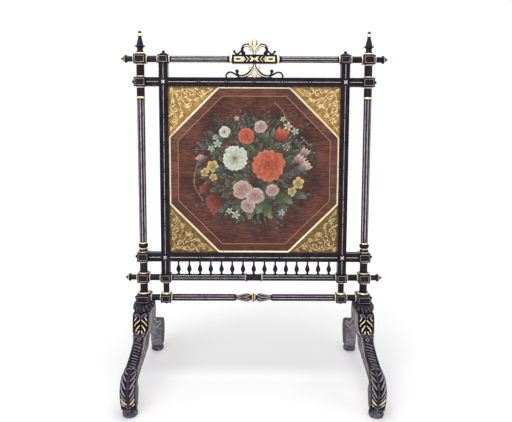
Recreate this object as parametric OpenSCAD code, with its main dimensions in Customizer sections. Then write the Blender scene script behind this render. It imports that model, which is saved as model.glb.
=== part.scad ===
// Fire screen: an ebonised and gilt wooden frame on two pairs of carved legs, with an octagonal
// painted board between two stiles and a row of turned spindles under it.
// Millimetres. +Z is up, the front faces -Y, and the origin is on the floor under the middle.

/* [Overall] */
// Distance between the axes of the two posts
post_spacing = 678; // [620:1:760]
// Distance from a post's axis to the middle of the stile beside it
stile_inset = 69; // [60:0.5:90]
// Distance from a post's axis to the tip of each pointed rail end
point_reach = 58; // [52:0.5:80]
// Height of the legs' tops above the floor
leg_h = 228; // [205:1:270]
// Distance from the stretcher's axis up to the gallery rail's axis
stretcher_to_gallery = 64; // [58:0.5:90]
// Distance from the gallery rail's axis up to the middle of the lower panel rail
gallery_to_panel = 65.5; // [56:0.5:90]
// Distance between the middles of the lower and upper panel rails
panel_rail_spacing = 531; // [420:1:640]
// Distance from the middle of the upper panel rail up to the top rail's axis
panel_to_top = 67; // [60:0.5:90]

/* [Posts] */
// Width of the posts' square blocks
post_block_w = 35; // [32:0.5:38]
// Height of the posts' square blocks
post_block_h = 27; // [22:0.5:30]
// Thickness of the posts' fluted shafts
post_shaft_d = 22.5; // [19:0.5:25]
// Thickness of the posts' plain necks
post_neck_d = 23.5; // [20:0.5:26]
// How far the gilt rings beside a block stand out from the neck
ring_out = 1.9; // [1:0.1:3]
// Height of the gilt rings beside a block
ring_h = 4; // [3:0.25:5]
// Diameter of the flare on the gallery block
flare_d = 33; // [30:0.5:35]
// Height of the flare on the gallery block
flare_h = 8.5; // [6:0.5:12]
// Diameter of the post's round base on the base block
flange_d = 40; // [36:0.5:42]
// Height of the post's round base
flange_h = 14; // [10:0.5:18]
// Diameter of the cup above the lower panel rail's block
cup_d = 28; // [26:0.5:32]
// Height of the cup
cup_h = 9.5; // [7:0.5:12]
// Diameter of the bulb at the foot of the long shaft
bulb_d = 30; // [27:0.5:34]
// Height of the bulb
bulb_h = 18; // [14:0.5:24]
// Thickness of the waist between cup and bulb
waist_d = 19; // [16:0.5:21]
// Diameter of the collar at the head of the long shaft
collar_d = 28.6; // [26:0.2:32]
// Height of the collar
collar_h = 12; // [9:0.5:16]
// Distance from the upper panel rail's block down to the collar
collar_drop = 39; // [30:0.5:50]
// Number of flutes round a shaft or rail
flute_count = 8; // [6:1:10]
// Diameter of the cutter for the posts' flutes
post_flute_d = 6; // [4:0.25:6.5]
// Depth of the posts' flutes
post_flute_depth = 1.3; // [0.6:0.1:1.8]

/* [Finials] */
// Height of a finial above its block
finial_h = 68.5; // [60:0.5:85]
// Diameter of the finial's collar and foot
finial_d = 31; // [26:0.5:34]
// Diameter of the finial's gilt bud
bud_d = 17; // [13:0.5:20]
// Height of the gilt bud
bud_h = 17; // [13:0.5:22]

/* [Stiles and panel rails] */
// Width of the flat part of a stile
stile_w = 26; // [22:0.5:28]
// Height of the faces of the two panel rails
panel_rail_h = 26.5; // [22:0.5:30]
// Thickness of the stiles and panel rails, front to back
frame_d = 24; // [22:0.5:28]
// Width of the stiles' square blocks
stile_block_w = 31; // [29:0.5:34]
// Height of the stiles' square blocks
stile_block_h = 25; // [22:0.5:28]
// Thickness of the stiles' turned necks
stile_neck_d = 18.5; // [15:0.5:22]
// Width of the hollow along a stile or rail
hollow_w = 17; // [13:0.5:18]
// Depth of that hollow
hollow_depth = 2.2; // [1:0.1:3]
// Diameter of the bead in the hollow
bead_d = 4.4; // [3:0.2:6]
// Diameter of the carved bosses where stiles and rails cross
boss_d = 16; // [12:0.5:20]
// How far the bosses stand out
boss_out = 1.5; // [0.5:0.1:3]
// Diameter of the caps on the stiles
cap_d = 24; // [20:0.5:28]
// Height of the caps and of their knobs together
cap_h = 12; // [10:0.5:16]
// Diameter of the drops under the stiles
drop_d = 12; // [9:0.5:16]
// Height of the drops
drop_h = 8.5; // [6:0.5:14]

/* [Rails] */
// Thickness of the top rail
top_rail_d = 19; // [16:0.5:22]
// Thickness of the gallery rail
gallery_rail_d = 21; // [18:0.5:23]
// Thickness of the stretcher
stretcher_d = 21.2; // [18:0.2:23]
// Diameter of the cutter for the rails' flutes
rail_flute_d = 5; // [3.5:0.25:5.5]
// Depth of the rails' flutes
rail_flute_depth = 1.2; // [0.5:0.1:1.6]
// Diameter of the gilt rings at the ends of rails, links and points
end_ring_d = 24; // [22:0.5:25]
// Length of those rings
end_ring_l = 3.6; // [2.5:0.2:5]
// Thickness of the links' middles
link_d = 19.4; // [16:0.2:21]
// Length of the tablet in the top rail
tablet_l = 132; // [110:1:160]
// Height of the tablet
tablet_h = 26; // [23:0.5:30]
// Thickness of the tablet, front to back
tablet_d = 23; // [20:0.5:28]
// Width of the plain border round the tablet's sunk field
tablet_border = 4.2; // [2:0.2:6]
// Depth of the sunk field
tablet_sunk = 1.2; // [0.6:0.1:2]
// Length of the cup at each end of the tablet
tablet_cup_l = 15; // [10:0.5:22]
// Length of the spool in the gallery rail
spool_l = 56; // [44:1:70]
// Diameter of the spool's two collars
spool_d = 26; // [23:0.5:30]
// Thickness of the spool's middle
spool_waist_d = 20.5; // [16:0.5:22]
// Diameter of the ring in the middle of the stretcher
hub_d = 28; // [25:0.5:32]
// Length of that ring
hub_l = 12; // [8:0.5:16]
// Length of each lotus turning beside the ring
lotus_l = 48; // [38:1:60]
// Diameter of the lotus turnings
lotus_d = 25; // [22.5:0.5:29]
// Thickness of the pointed ends' necks
point_neck_d = 16.5; // [13:0.5:20]
// Length of each pointed tip, with its collar
point_tip_l = 20; // [15:0.5:24]

/* [Spindles] */
// Number of spindles
spindle_count = 15; // [9:2:15]
// Distance between spindles
spindle_pitch = 33.1; // [24:0.1:34]
// Diameter of a spindle's bulb
spindle_d = 14; // [10:0.5:18]
// Thickness of a spindle's neck
spindle_neck_d = 5.4; // [4:0.2:7]
// Height of the bulb's widest place above the gallery rail
spindle_bulb_z = 15; // [12:0.5:18]
// Diameter of the round tenons at a spindle's ends
spindle_tenon_d = 4; // [3:0.2:5]
// Length of those tenons
spindle_tenon_l = 5; // [4:0.5:6]

/* [Panel] */
// Width of the rebate that holds the panel
rebate_w = 8; // [6:0.5:9]
// Distance of the panel's face behind the frame's face
panel_recess = 8; // [6:0.5:10]
// Thickness of the painted board and the corner boards
panel_t = 6; // [4:0.5:7]
// Thickness of the backboard
backboard_t = 4; // [3:0.5:5]
// Length of each slanting cut at the octagon's corners, along the frame
corner_cut = 150; // [110:1:180]
// Width of the gilt moulding round the octagon
moulding_w = 6; // [4:0.5:9]
// How far the moulding stands out from the panel
moulding_out = 4.2; // [3:0.2:6]
// Thickness of the retaining beads across their face
bead_strip_w = 7; // [5:0.5:8]
// Diameter of the brass pins in the retaining beads
pin_d = 1.6; // [1.2:0.1:2]
// Length of the pins
pin_l = 13; // [11:0.5:14]
// Diameter of the pins' heads
pin_head_d = 3.2; // [2.6:0.1:4]
// Number of pins in each retaining bead
pins_per_side = 3; // [2:1:5]

/* [Crest] */
// Width of the crest on the tablet
crest_w = 126; // [100:1:130]
// Height of the crest
crest_h = 47; // [36:0.5:60]
// Width of the scrolls under the tablet
scroll_w = 172; // [130:1:200]
// Half the breadth of the crest's and scrolls' stems
stem = 2.2; // [1.6:0.1:3]
// Thickness of the crest and of the scrolls under the tablet
crest_t = 9; // [6:0.5:12]
// Diameter of the small pegs that hold crest and scrolls
crest_peg_d = 3; // [2:0.2:3.6]
// Length of those pegs
crest_peg_l = 5; // [4:0.5:8]

/* [Base] */
// Width of the base blocks
base_w = 42; // [40:0.5:48]
// Depth of the base blocks, front to back
base_d = 56; // [54:1:64]
// Height of the base blocks
base_h = 25; // [22:0.5:30]
// Width of the oval cushion under a base block
cushion_w = 66; // [60:0.5:74]
// Depth of the cushion, front to back
cushion_d = 124; // [116:1:134]
// Height of the cushion
cushion_h = 20; // [15:0.5:24]
// Distance from a post's axis to the middle of a foot
foot_reach = 212; // [190:1:240]
// Width of a leg's knee
knee_w = 48; // [42:0.5:52]
// Width of a leg's shaft
shank_w = 33; // [28:0.5:37]
// Width of a leg's foot
foot_w = 41; // [38:0.5:46]
// Diameter of the pads under the legs
pad_d = 42; // [36:0.5:48]
// Height of the pads
pad_h = 21; // [16:0.5:26]

/* [Joinery] */
// Diameter of the round tenons on links, rails and points
spigot_d = 10; // [8:0.5:12]
// Length of those tenons
spigot_l = 9; // [7:0.5:10]
// Diameter of the posts' tenons in the base blocks
post_tenon_d = 16; // [13:0.5:18]
// Length of the posts' tenons
post_tenon_l = 16; // [12:0.5:20]
// Diameter of the panel rails' tenons in the posts
rail_tenon_d = 12; // [10:0.5:16]
// Diameter of the small spigots of finials, caps, drops and buttons
small_spigot_d = 5; // [4:0.5:7]
// Length of the small spigots
small_spigot_l = 8; // [5:0.5:9]
// Diameter of the dowels between legs and base blocks
dowel_d = 8; // [6:0.5:10]
// Length of the dowels
dowel_l = 46; // [38:1:54]
// Distance of the dowels from the post's axis
dowel_reach = 18; // [15:0.5:22]
// Clearance round every tenon, dowel and pin
fit_gap = 0.1; // [0.05:0.05:0.2]
// Clearance at the ends of tenons and dowels
end_gap = 0.5; // [0.3:0.1:1]
// Clearance beside the half-lapped rails and round the panel
side_gap = 0.3; // [0.1:0.1:0.5]
// Length of the buttons on the posts' outer faces
button_l = 8; // [5:0.5:12]
// Diameter of those buttons
button_d = 14; // [10:0.5:18]

/* [Hidden] */
$fn = 48;
left = -1;
right = 1;
front = -1;
rear = 1;
big = 2000;
arc_steps = 6;
edge = 1;

post_x = post_spacing / 2;
stile_x = post_x - stile_inset;
base_z = leg_h + cushion_h;
base_top = base_z + base_h;
stretcher_z = base_z + base_h / 2;
gallery_z = stretcher_z + stretcher_to_gallery;
lower_z = gallery_z + gallery_to_panel;
upper_z = lower_z + panel_rail_spacing;
top_z = upper_z + panel_to_top;
half_block = post_block_h / 2;
open_w = 2 * stile_x - stile_w;
open_bottom = lower_z + panel_rail_h / 2;
open_top = upper_z - panel_rail_h / 2;
open_h = open_top - open_bottom;
open_mid = (open_top + open_bottom) / 2;
rail_end_x = stile_x - stile_block_w / 2;
link_x = stile_x + stile_block_w / 2;
panel_y = -frame_d / 2 + panel_recess;
backboard_y = panel_y + panel_t;
strip_y = backboard_y + backboard_t;
strip_t = frame_d / 2 - strip_y;
collar_z = upper_z - half_block - collar_drop;
spindle_z = gallery_z + gallery_rail_d / 2;
spindle_l = lower_z - panel_rail_h / 2 - spindle_z;
tablet_top = top_z + tablet_h / 2;
scroll_z = upper_z + panel_rail_h / 2;
scroll_h = top_z - tablet_h / 2 - scroll_z;

function spindle_name(i) = str("spindle_", i < 10 ? "0" : "", i);

// Outlines of turned pieces are lists of [radius, height], from the lower end to the upper.
// Half-round moulding that stands out from radius r
function bead(z0, z1, r, out) = [for (i = [0 : arc_steps]) let (a = 180 * i / arc_steps)
    [r + out * sin(a), (z0 + z1) / 2 - (z1 - z0) / 2 * cos(a)]];
// Quarter curve that leaves along the axis and arrives square to it
function flare(z0, z1, r0, r1) = [for (i = [0 : arc_steps]) let (a = 90 * i / arc_steps)
    [r0 + (r1 - r0) * (1 - cos(a)), z0 + (z1 - z0) * sin(a)]];
// Quarter curve that leaves square to the axis and arrives along it
function settle(z0, z1, r0, r1) = [for (i = [0 : arc_steps]) let (a = 90 * i / arc_steps)
    [r0 + (r1 - r0) * sin(a), z0 + (z1 - z0) * (1 - cos(a))]];
// S-shaped curve that leaves and arrives along the axis
function wave(z0, z1, r0, r1) = [for (i = [0 : arc_steps]) let (t = i / arc_steps)
    [r0 + (r1 - r0) * (1 - cos(180 * t)) / 2, z0 + (z1 - z0) * t]];
// The same outline turned end for end about the height z
function flipped(p, z) = [for (i = [len(p) - 1 : -1 : 0]) [p[i].x, 2 * z - p[i].y]];
// The outline without repeated points
function clean(p) = [for (i = [0 : len(p) - 1]) if (i == 0 || norm(p[i] - p[i - 1]) > 0.001) p[i]];

// Smooth curve through the given points, as Catmull and Rom draw it
curve_steps = 5;
function between(a, b, c, d, t) = b + (c - a) * t / 2 + (2 * a - 5 * b + 4 * c - d) * t * t / 2
    + (3 * b - a - 3 * c + d) * t * t * t / 2;
function smooth(p) = concat(
    [for (i = [0 : len(p) - 2], k = [0 : curve_steps - 1]) between(
        p[max(i - 1, 0)], p[i], p[i + 1], p[min(i + 2, len(p) - 1)], k / curve_steps)],
    [p[len(p) - 1]]
);
// One edge of a strip whose middle line is c, with [across, up, half width] points
function strip_edge(c, way) = [for (i = [0 : len(c) - 1])
    let (step = c[min(i + 1, len(c) - 1)] - c[max(i - 1, 0)], l = norm([step.x, step.y]))
    [c[i].x - way * c[i].z * step.y / l, c[i].y + way * c[i].z * step.x / l]];

// Solid turned about the Z axis
module turned(p) {
    rotate_extrude() polygon(clean(concat([[0, p[0].y]], p, [[0, p[len(p) - 1].y]])));
}

// Fluted shaft from z0 to z1 on the Z axis
module fluted(z0, z1, d, cutter_d, depth) {
    translate([0, 0, z0]) linear_extrude(z1 - z0) difference() {
        circle(d = d);
        for (i = [0 : flute_count - 1])
            rotate(360 * i / flute_count) translate([(d + cutter_d) / 2 - depth, 0]) circle(d = cutter_d);
    }
}

// Square block with eased edges, centred at height z
module block(w, d, h, z) {
    translate([0, 0, z - h / 2]) linear_extrude(h) polygon([
        [-w / 2, -d / 2 + edge], [-w / 2 + edge, -d / 2], [w / 2 - edge, -d / 2], [w / 2, -d / 2 + edge],
        [w / 2, d / 2 - edge], [w / 2 - edge, d / 2], [-w / 2 + edge, d / 2], [-w / 2, d / 2 - edge]
    ]);
}

// Bore along X into a block's side at height z, from the face at x towards the axis
module side_bore(x, z, d, depth) {
    toward = x > 0 ? -90 : 90;
    translate([x, 0, z]) rotate([0, toward, 0]) translate([0, 0, -edge])
        cylinder(d = d + 2 * fit_gap, h = depth + end_gap + edge);
}

// Bore along Z, from the height z upwards or, with a negative depth, downwards
module end_bore(z, d, depth) {
    away = sign(depth);
    reach = abs(depth) + end_gap;
    translate([0, 0, away > 0 ? z - edge : z - reach]) cylinder(d = d + 2 * fit_gap, h = reach + edge);
}

// Round tenon outline, which ends with a small easing
function tenon(z0, z1, d) = [[d / 2 - edge / 2, z0], [d / 2, z0 + edge / 2], [d / 2, z1]];

// The outline run on a little at its upper end, or at both, into the solid that it meets
function run_on(p) = concat(p, [[p[len(p) - 1].x, p[len(p) - 1].y + edge]]);
function run_on_both(p) = concat([[p[0].x, p[0].y - edge]], run_on(p));

// Outline of a gilt ring on a neck
function ring(z0, z1, neck_d) = bead(z0, z1, neck_d / 2, ring_out);

// Fluted neck between the heights z0 and z1, run on into what is above and below it
module post_neck(z0, z1) {
    fluted(z0 - edge, z1 + edge, post_neck_d, post_flute_d, post_flute_depth);
}

module post(side) {
    gallery_top = gallery_z + half_block;
    gallery_bottom = gallery_z - half_block;
    lower_top = lower_z + half_block;
    lower_bottom = lower_z - half_block;
    upper_top = upper_z + half_block;
    upper_bottom = upper_z - half_block;
    top_bottom = top_z - half_block;
    shaft_z = lower_top + ring_h + cup_h + bulb_h;
    neck_r = post_neck_d / 2;
    shaft_r = post_shaft_d / 2;
    color("#2b2530") translate([side * post_x, 0, 0]) difference() {
        union() {
            turned(run_on(concat(
                tenon(base_top - post_tenon_l, base_top, post_tenon_d),
                [[flange_d / 2, base_top], [flange_d / 2, base_top + edge]],
                settle(base_top + 2 * edge, base_top + flange_h, flange_d / 2 - edge, neck_r),
                ring(gallery_bottom - ring_h, gallery_bottom, post_neck_d)
            )));
            block(post_block_w, post_block_w, post_block_h, gallery_z);
            turned(run_on_both(concat(
                bead(gallery_top, gallery_top + flare_h / 2, flare_d / 2 - ring_out, ring_out),
                settle(gallery_top + flare_h / 2, gallery_top + flare_h, flare_d / 2 - ring_out, neck_r),
                ring(lower_bottom - ring_h, lower_bottom, post_neck_d)
            )));
            block(post_block_w, post_block_w, post_block_h, lower_z);
            turned(run_on_both(concat(
                bead(lower_top, lower_top + ring_h, cup_d / 2 - ring_out, ring_out),
                flare(lower_top + ring_h, lower_top + ring_h + cup_h, cup_d / 2, waist_d / 2),
                flipped(flare(shaft_z - bulb_h, shaft_z - bulb_h / 2, bulb_d / 2, waist_d / 2),
                    shaft_z - 3 * bulb_h / 4),
                wave(shaft_z - bulb_h / 2, shaft_z, bulb_d / 2, shaft_r)
            )));
            fluted(shaft_z, collar_z + edge, post_shaft_d, post_flute_d, post_flute_depth);
            turned(concat(
                [[collar_d / 2 - ring_out, collar_z]],
                bead(collar_z + collar_h / 4, collar_z + collar_h * 0.75, collar_d / 2 - ring_out, ring_out),
                flare(collar_z + collar_h * 0.75, collar_z + collar_h, collar_d / 2 - ring_out, neck_r)
            ));
            post_neck(collar_z + collar_h, upper_bottom - ring_h);
            turned(run_on(ring(upper_bottom - ring_h, upper_bottom, post_neck_d)));
            block(post_block_w, post_block_w, post_block_h, upper_z);
            turned(run_on_both(ring(upper_top, upper_top + ring_h, post_neck_d)));
            post_neck(upper_top + ring_h, top_bottom - ring_h);
            turned(run_on(ring(top_bottom - ring_h, top_bottom, post_neck_d)));
            block(post_block_w, post_block_w, post_block_h, top_z);
        }
        for (z = [gallery_z, top_z], x = [left, right])
            side_bore(x * post_block_w / 2, z, spigot_d, spigot_l);
        for (z = [lower_z, upper_z]) {
            side_bore(-side * post_block_w / 2, z, rail_tenon_d, spigot_l);
            side_bore(side * post_block_w / 2, z, small_spigot_d, small_spigot_l);
        }
        end_bore(top_z + half_block, small_spigot_d, -small_spigot_l);
    }
}

module finial(side) {
    z = top_z + half_block;
    foot_r = finial_d / 2;
    cup_z = z + 5;
    disc_z = z + 22;
    cone_z = disc_z + 5;
    bud_z = z + finial_h - bud_h;
    bud_r = bud_d / 2;
    color("#332c36") translate([side * post_x, 0, 0]) turned(concat(
        tenon(z - small_spigot_l, z, small_spigot_d),
        bead(z, cup_z, foot_r - ring_out, ring_out),
        settle(cup_z, disc_z - 6, foot_r - ring_out, foot_r * 0.55),
        wave(disc_z - 6, disc_z, foot_r * 0.55, foot_r * 0.72),
        bead(disc_z, disc_z + 3, foot_r - edge, edge),
        flare(disc_z + 3, cone_z, foot_r * 0.76, foot_r * 0.66),
        [[bud_r * 0.62, bud_z - 3], [bud_r * 0.5, bud_z - 1.5]],
        settle(bud_z, bud_z + bud_h * 0.24, bud_r * 0.6, bud_r),
        wave(bud_z + bud_h * 0.24, bud_z + bud_h * 0.6, bud_r, bud_r * 0.62),
        flare(bud_z + bud_h * 0.6, bud_z + bud_h, bud_r * 0.62, edge / 2)
    ));
}

// Cross-section of a stile or panel rail of width w, with its moulded face at the bottom
module moulded_section(w) {
    difference() {
        translate([-w / 2, -frame_d / 2]) square([w, frame_d]);
        translate([-hollow_w / 2, -frame_d / 2 - edge]) square([hollow_w, hollow_depth + edge]);
        for (x = [left, right])
            translate([x * hollow_w / 2, -frame_d / 2]) circle(r = edge);
    }
    intersection() {
        translate([0, -frame_d / 2 + hollow_depth]) circle(d = bead_d);
        translate([-w / 2, -frame_d / 2]) square([w, frame_d]);
    }
}

// Space behind the panel opening that the panel and its boards fill
module rebate() {
    w = open_w + 2 * rebate_w;
    h = open_h + 2 * rebate_w;
    translate([-w / 2, panel_y, open_mid - h / 2]) cube([w, frame_d, h]);
}

// Places a copy for each pin of the retaining beads, with +Z pointing out into the frame
module at_pins() {
    across = (open_w - 2 * corner_cut) / 2;
    for (turn = [0, 90, 180, 270], i = [0 : pins_per_side - 1]) {
        out = (turn % 180 == 0 ? open_h : open_w) / 2 + rebate_w - bead_strip_w;
        translate([0, strip_y + strip_t / 2, open_mid]) rotate([0, turn, 0])
            translate([across * (2 * i / (pins_per_side - 1) - 1), 0, out]) children();
    }
}

module pin_holes() {
    at_pins() cylinder(d = pin_d + 2 * fit_gap, h = pin_l + end_gap);
}

module stile(side) {
    bar_z = gallery_z + stile_block_h / 2;
    bar_top = top_z - stile_block_h / 2;
    neck_top = gallery_z - stile_block_h / 2;
    neck_bottom = stretcher_z + stile_block_h / 2;
    neck_r = stile_neck_d / 2;
    foot_r = neck_r + 2 * ring_out;
    blocks = [stretcher_z, gallery_z, top_z];
    difference() {
        color("#2b2530") translate([side * stile_x, 0, 0]) difference() {
            union() {
                translate([0, 0, bar_z - edge]) linear_extrude(bar_top - bar_z + 2 * edge)
                    moulded_section(stile_w);
                for (z = blocks) block(stile_block_w, stile_block_w, stile_block_h, z);
                turned(run_on(concat(
                    [[foot_r, neck_bottom - edge], [foot_r, neck_bottom + edge]],
                    settle(neck_bottom + 2 * edge, neck_bottom + 2 * ring_h, foot_r - edge, neck_r),
                    ring(neck_top - ring_h, neck_top, stile_neck_d)
                )));
                for (z = [lower_z, upper_z])
                    translate([0, -frame_d / 2 - boss_out, z]) rotate([-90, 0, 0])
                        cylinder(d = boss_d, h = boss_out + hollow_depth + edge);
            }
            for (z = blocks, x = [left, right]) side_bore(x * stile_block_w / 2, z, spigot_d, spigot_l);
            for (z = [lower_z, upper_z])
                translate([-stile_w, 0, z - panel_rail_h / 2 - side_gap])
                    cube([2 * stile_w, frame_d, panel_rail_h + 2 * side_gap]);
            end_bore(top_z + stile_block_h / 2, small_spigot_d, -small_spigot_l);
            end_bore(stretcher_z - stile_block_h / 2, small_spigot_d, small_spigot_l);
        }
        rebate();
        pin_holes();
    }
}

module stile_cap(side) {
    z = top_z + stile_block_h / 2;
    knob_r = cap_d / 5;
    dome_z = z + cap_h * 0.45;
    color("#2b2530") translate([side * stile_x, 0, 0]) turned(concat(
        tenon(z - small_spigot_l, z, small_spigot_d),
        [[cap_d / 2, z], [cap_d / 2, z + edge]],
        flare(z + edge, dome_z, cap_d / 2, knob_r * 0.7),
        bead(dome_z, z + cap_h, knob_r * 0.6, knob_r * 0.4)
    ));
}

module stile_drop(side) {
    z = stretcher_z - stile_block_h / 2;
    color("#2b2530") translate([side * stile_x, 0, 0]) turned(concat(
        flipped(flare(z, z + drop_h - edge, drop_d / 2, edge / 2), z)
            , [[drop_d / 2, z]]
            , flipped(tenon(z - small_spigot_l, z, small_spigot_d), z)
    ));
}

// Panel rail at height z, half-lapped behind the stiles and tenoned into the posts
module panel_rail(z) {
    half_l = post_x - post_block_w / 2;
    color("#2b2530") difference() {
        union() {
            translate([-half_l, 0, z]) rotate([90, 0, 90]) linear_extrude(2 * half_l)
                mirror([1, -1]) moulded_section(panel_rail_h);
            for (x = [left, right])
                translate([x * half_l, 0, z]) rotate([0, x * 90, 0])
                    turned(flipped(tenon(-spigot_l, edge, rail_tenon_d), 0));
        }
        for (x = [left, right])
            translate([x * stile_x - stile_w / 2 - side_gap, -frame_d, z - panel_rail_h])
                cube([stile_w + 2 * side_gap, frame_d, 2 * panel_rail_h]);
        rebate();
        pin_holes();
        if (z == lower_z) spindle_bores(lower_z - panel_rail_h / 2, spindle_tenon_l);
        else peg_bores(scroll_pegs, scroll_z, -crest_peg_l);
    }
}

// Outline of the part of a rail or link next to a block: round tenon, gilt ring and hollow
function rail_start(x0, d, hollow_l) = concat(
    tenon(x0 - spigot_l, x0, spigot_d),
    bead(x0, x0 + end_ring_l, end_ring_d / 2 - ring_out, ring_out),
    settle(x0 + end_ring_l, x0 + end_ring_l + hollow_l, end_ring_d / 2 - ring_out, d / 2)
);
rail_hollow_l = 5;

// Both ends and the two fluted lengths of a rail along X whose middle piece is 2 * mid long
module rail_ends(z, d, mid) {
    start = -rail_end_x;
    shaft = start + end_ring_l + rail_hollow_l;
    for (way = [left, right]) translate([0, 0, z]) rotate([0, way * 90, 0]) {
        turned(rail_start(start, d, rail_hollow_l));
        fluted(shaft - edge, edge - mid, d, rail_flute_d, rail_flute_depth);
    }
}

module top_rail() {
    half_l = tablet_l / 2;
    cup_r = tablet_h / 2;
    rail_r = top_rail_d / 2;
    color("#3a3030") difference() {
        union() {
            rail_ends(top_z, top_rail_d, half_l + tablet_cup_l);
            for (way = [left, right]) translate([0, 0, top_z]) rotate([0, way * 90, 0]) turned(concat(
                [[rail_r + ring_out / 2, half_l - edge]],
                flare(half_l, half_l + tablet_cup_l * 0.45, rail_r + ring_out / 2, cup_r - ring_out),
                bead(half_l + tablet_cup_l * 0.45, half_l + tablet_cup_l * 0.65, cup_r - ring_out, edge),
                settle(half_l + tablet_cup_l * 0.65, half_l + tablet_cup_l, cup_r - ring_out, rail_r)
            ));
            translate([-half_l, -tablet_d / 2, top_z - tablet_h / 2]) cube([tablet_l, tablet_d, tablet_h]);
        }
        for (y = [front, rear]) translate([0, y * tablet_d / 2, top_z])
            cube([tablet_l - 2 * tablet_border, 2 * tablet_sunk, tablet_h - 2 * tablet_border],
                center = true);
        peg_bores(crest_pegs, tablet_top, -crest_peg_l);
        peg_bores([0], top_z - tablet_h / 2, crest_peg_l);
    }
}

module gallery_rail() {
    half_l = spool_l / 2;
    rail_r = gallery_rail_d / 2;
    collar_l = spool_l / 7;
    waist_r = spool_waist_d / 2;
    color("#352d38") difference() {
        union() {
            rail_ends(gallery_z, gallery_rail_d, half_l);
            translate([0, 0, gallery_z]) rotate([0, 90, 0]) turned(concat(
                [[rail_r, -half_l]],
                bead(-half_l + edge, -half_l + collar_l, rail_r, spool_d / 2 - rail_r),
                settle(-half_l + collar_l, 0, rail_r, waist_r),
                flare(0, half_l - collar_l, waist_r, rail_r),
                bead(half_l - collar_l, half_l - edge, rail_r, spool_d / 2 - rail_r),
                [[rail_r, half_l]]
            ));
        }
        spindle_bores(spindle_z, -spindle_tenon_l);
    }
}

module stretcher() {
    rail_r = stretcher_d / 2;
    hub_r = hub_d / 2;
    neck_r = rail_r * 0.7;
    lotus_x = hub_l / 2 + 4;
    lotus_end = lotus_x + lotus_l;
    color("#352d38") {
        rail_ends(stretcher_z, stretcher_d, lotus_end);
        for (way = [left, right]) translate([0, 0, stretcher_z]) rotate([0, way * 90, 0]) turned(concat(
            [[hub_r - 2 * ring_out, -edge]],
            bead(0, hub_l / 4, hub_r - 2 * ring_out, 2 * ring_out),
            bead(hub_l / 4, hub_l / 2, hub_r - 2 * ring_out, ring_out),
            [[neck_r, hub_l / 2 + edge], [neck_r, lotus_x]],
            settle(lotus_x, lotus_x + lotus_l * 0.16, neck_r, lotus_d / 2),
            wave(lotus_x + lotus_l * 0.16, lotus_end - lotus_l * 0.14, lotus_d / 2, neck_r),
            flare(lotus_end - lotus_l * 0.14, lotus_end - edge, neck_r, rail_r + edge),
            [[rail_r + edge, lotus_end]]
        ));
    }
}

// Turned link between a stile's block and the block outside it, whose inner face is at outer_x
module link(side, z, outer_x) {
    mid = (outer_x - link_x) / 2;
    half = rail_start(-mid, link_d, (mid - end_ring_l) / 2);
    color("#2b2530") translate([side * (link_x + mid), 0, z]) rotate([0, 90, 0])
        turned(concat(half, flipped(half, 0)));
}

// Pointed end outside a post's block
module point(side, z) {
    x0 = post_block_w / 2;
    tip_x = point_reach;
    collar_x = tip_x - point_tip_l;
    neck_r = point_neck_d / 2;
    color("#2b2530") translate([side * post_x, 0, z]) rotate([0, side * 90, 0]) turned(concat(
        rail_start(x0, point_neck_d, rail_hollow_l),
        [[neck_r, collar_x]],
        bead(collar_x, collar_x + point_tip_l * 0.45, neck_r, end_ring_d / 2 - neck_r),
        wave(collar_x + point_tip_l * 0.45, tip_x - point_tip_l * 0.1, neck_r, edge * 1.5),
        flare(tip_x - point_tip_l * 0.1, tip_x, edge * 1.5, edge / 2)
    ));
}

module post_buttons() {
    button_r = button_d / 2;
    color("#2b2530") for (side = [left, right], place = [
        [post_block_w / 2, lower_z], [post_block_w / 2, upper_z], [base_w / 2, stretcher_z]
    ])
        translate([side * (post_x + place.x), 0, place.y]) rotate([0, side * 90, 0]) turned(concat(
            tenon(-small_spigot_l, 0, small_spigot_d),
            [[button_r, 0]],
            settle(edge, button_l * 0.6, button_r, button_r * 0.6),
            flare(button_l * 0.6, button_l, button_r * 0.6, edge)
        ));
}

// Places a bore for each spindle's tenon
module spindle_bores(z, depth) {
    for (i = [1 : spindle_count]) translate([spindle_place(i), 0, 0]) end_bore(z, spindle_tenon_d, depth);
}
function spindle_place(i) = (i - (spindle_count + 1) / 2) * spindle_pitch;

module spindle(i) {
    foot_r = spindle_neck_d * 0.8;
    neck_r = spindle_neck_d / 2;
    bulb_top = spindle_bulb_z * 2.1;
    color("#2b2530") translate([spindle_place(i), 0, spindle_z]) turned(concat(
        tenon(-spindle_tenon_l, 0, spindle_tenon_d),
        [[foot_r, 0], [foot_r, edge]],
        settle(edge, spindle_bulb_z * 0.35, foot_r, neck_r),
        wave(spindle_bulb_z * 0.35, spindle_bulb_z, neck_r, spindle_d / 2),
        wave(spindle_bulb_z, bulb_top, spindle_d / 2, neck_r),
        [[neck_r, spindle_l - 2 * edge], [foot_r, spindle_l]],
        flipped(tenon(-spindle_tenon_l, 0, spindle_tenon_d), spindle_l / 2)
    ));
}

// Octagon that fills the opening, drawn in by gap
module octagon(gap) {
    w = open_w / 2 - gap;
    h = open_h / 2 - gap;
    cut = corner_cut - gap * (2 - sqrt(2));
    polygon([
        [-w, cut - h], [cut - w, -h], [w - cut, -h], [w, cut - h],
        [w, h - cut], [w - cut, h], [cut - w, h], [-w, h - cut]
    ]);
}

// Stands a flat shape of the panel upright, with its front face at y and t thick
module upright(y, t) {
    translate([0, y + t, open_mid]) rotate([90, 0, 0]) linear_extrude(t) children();
}

// Rectangle that fills the rebate
module rebate_face() {
    square([open_w + 2 * rebate_w - 2 * side_gap, open_h + 2 * rebate_w - 2 * side_gap], center = true);
}

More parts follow.
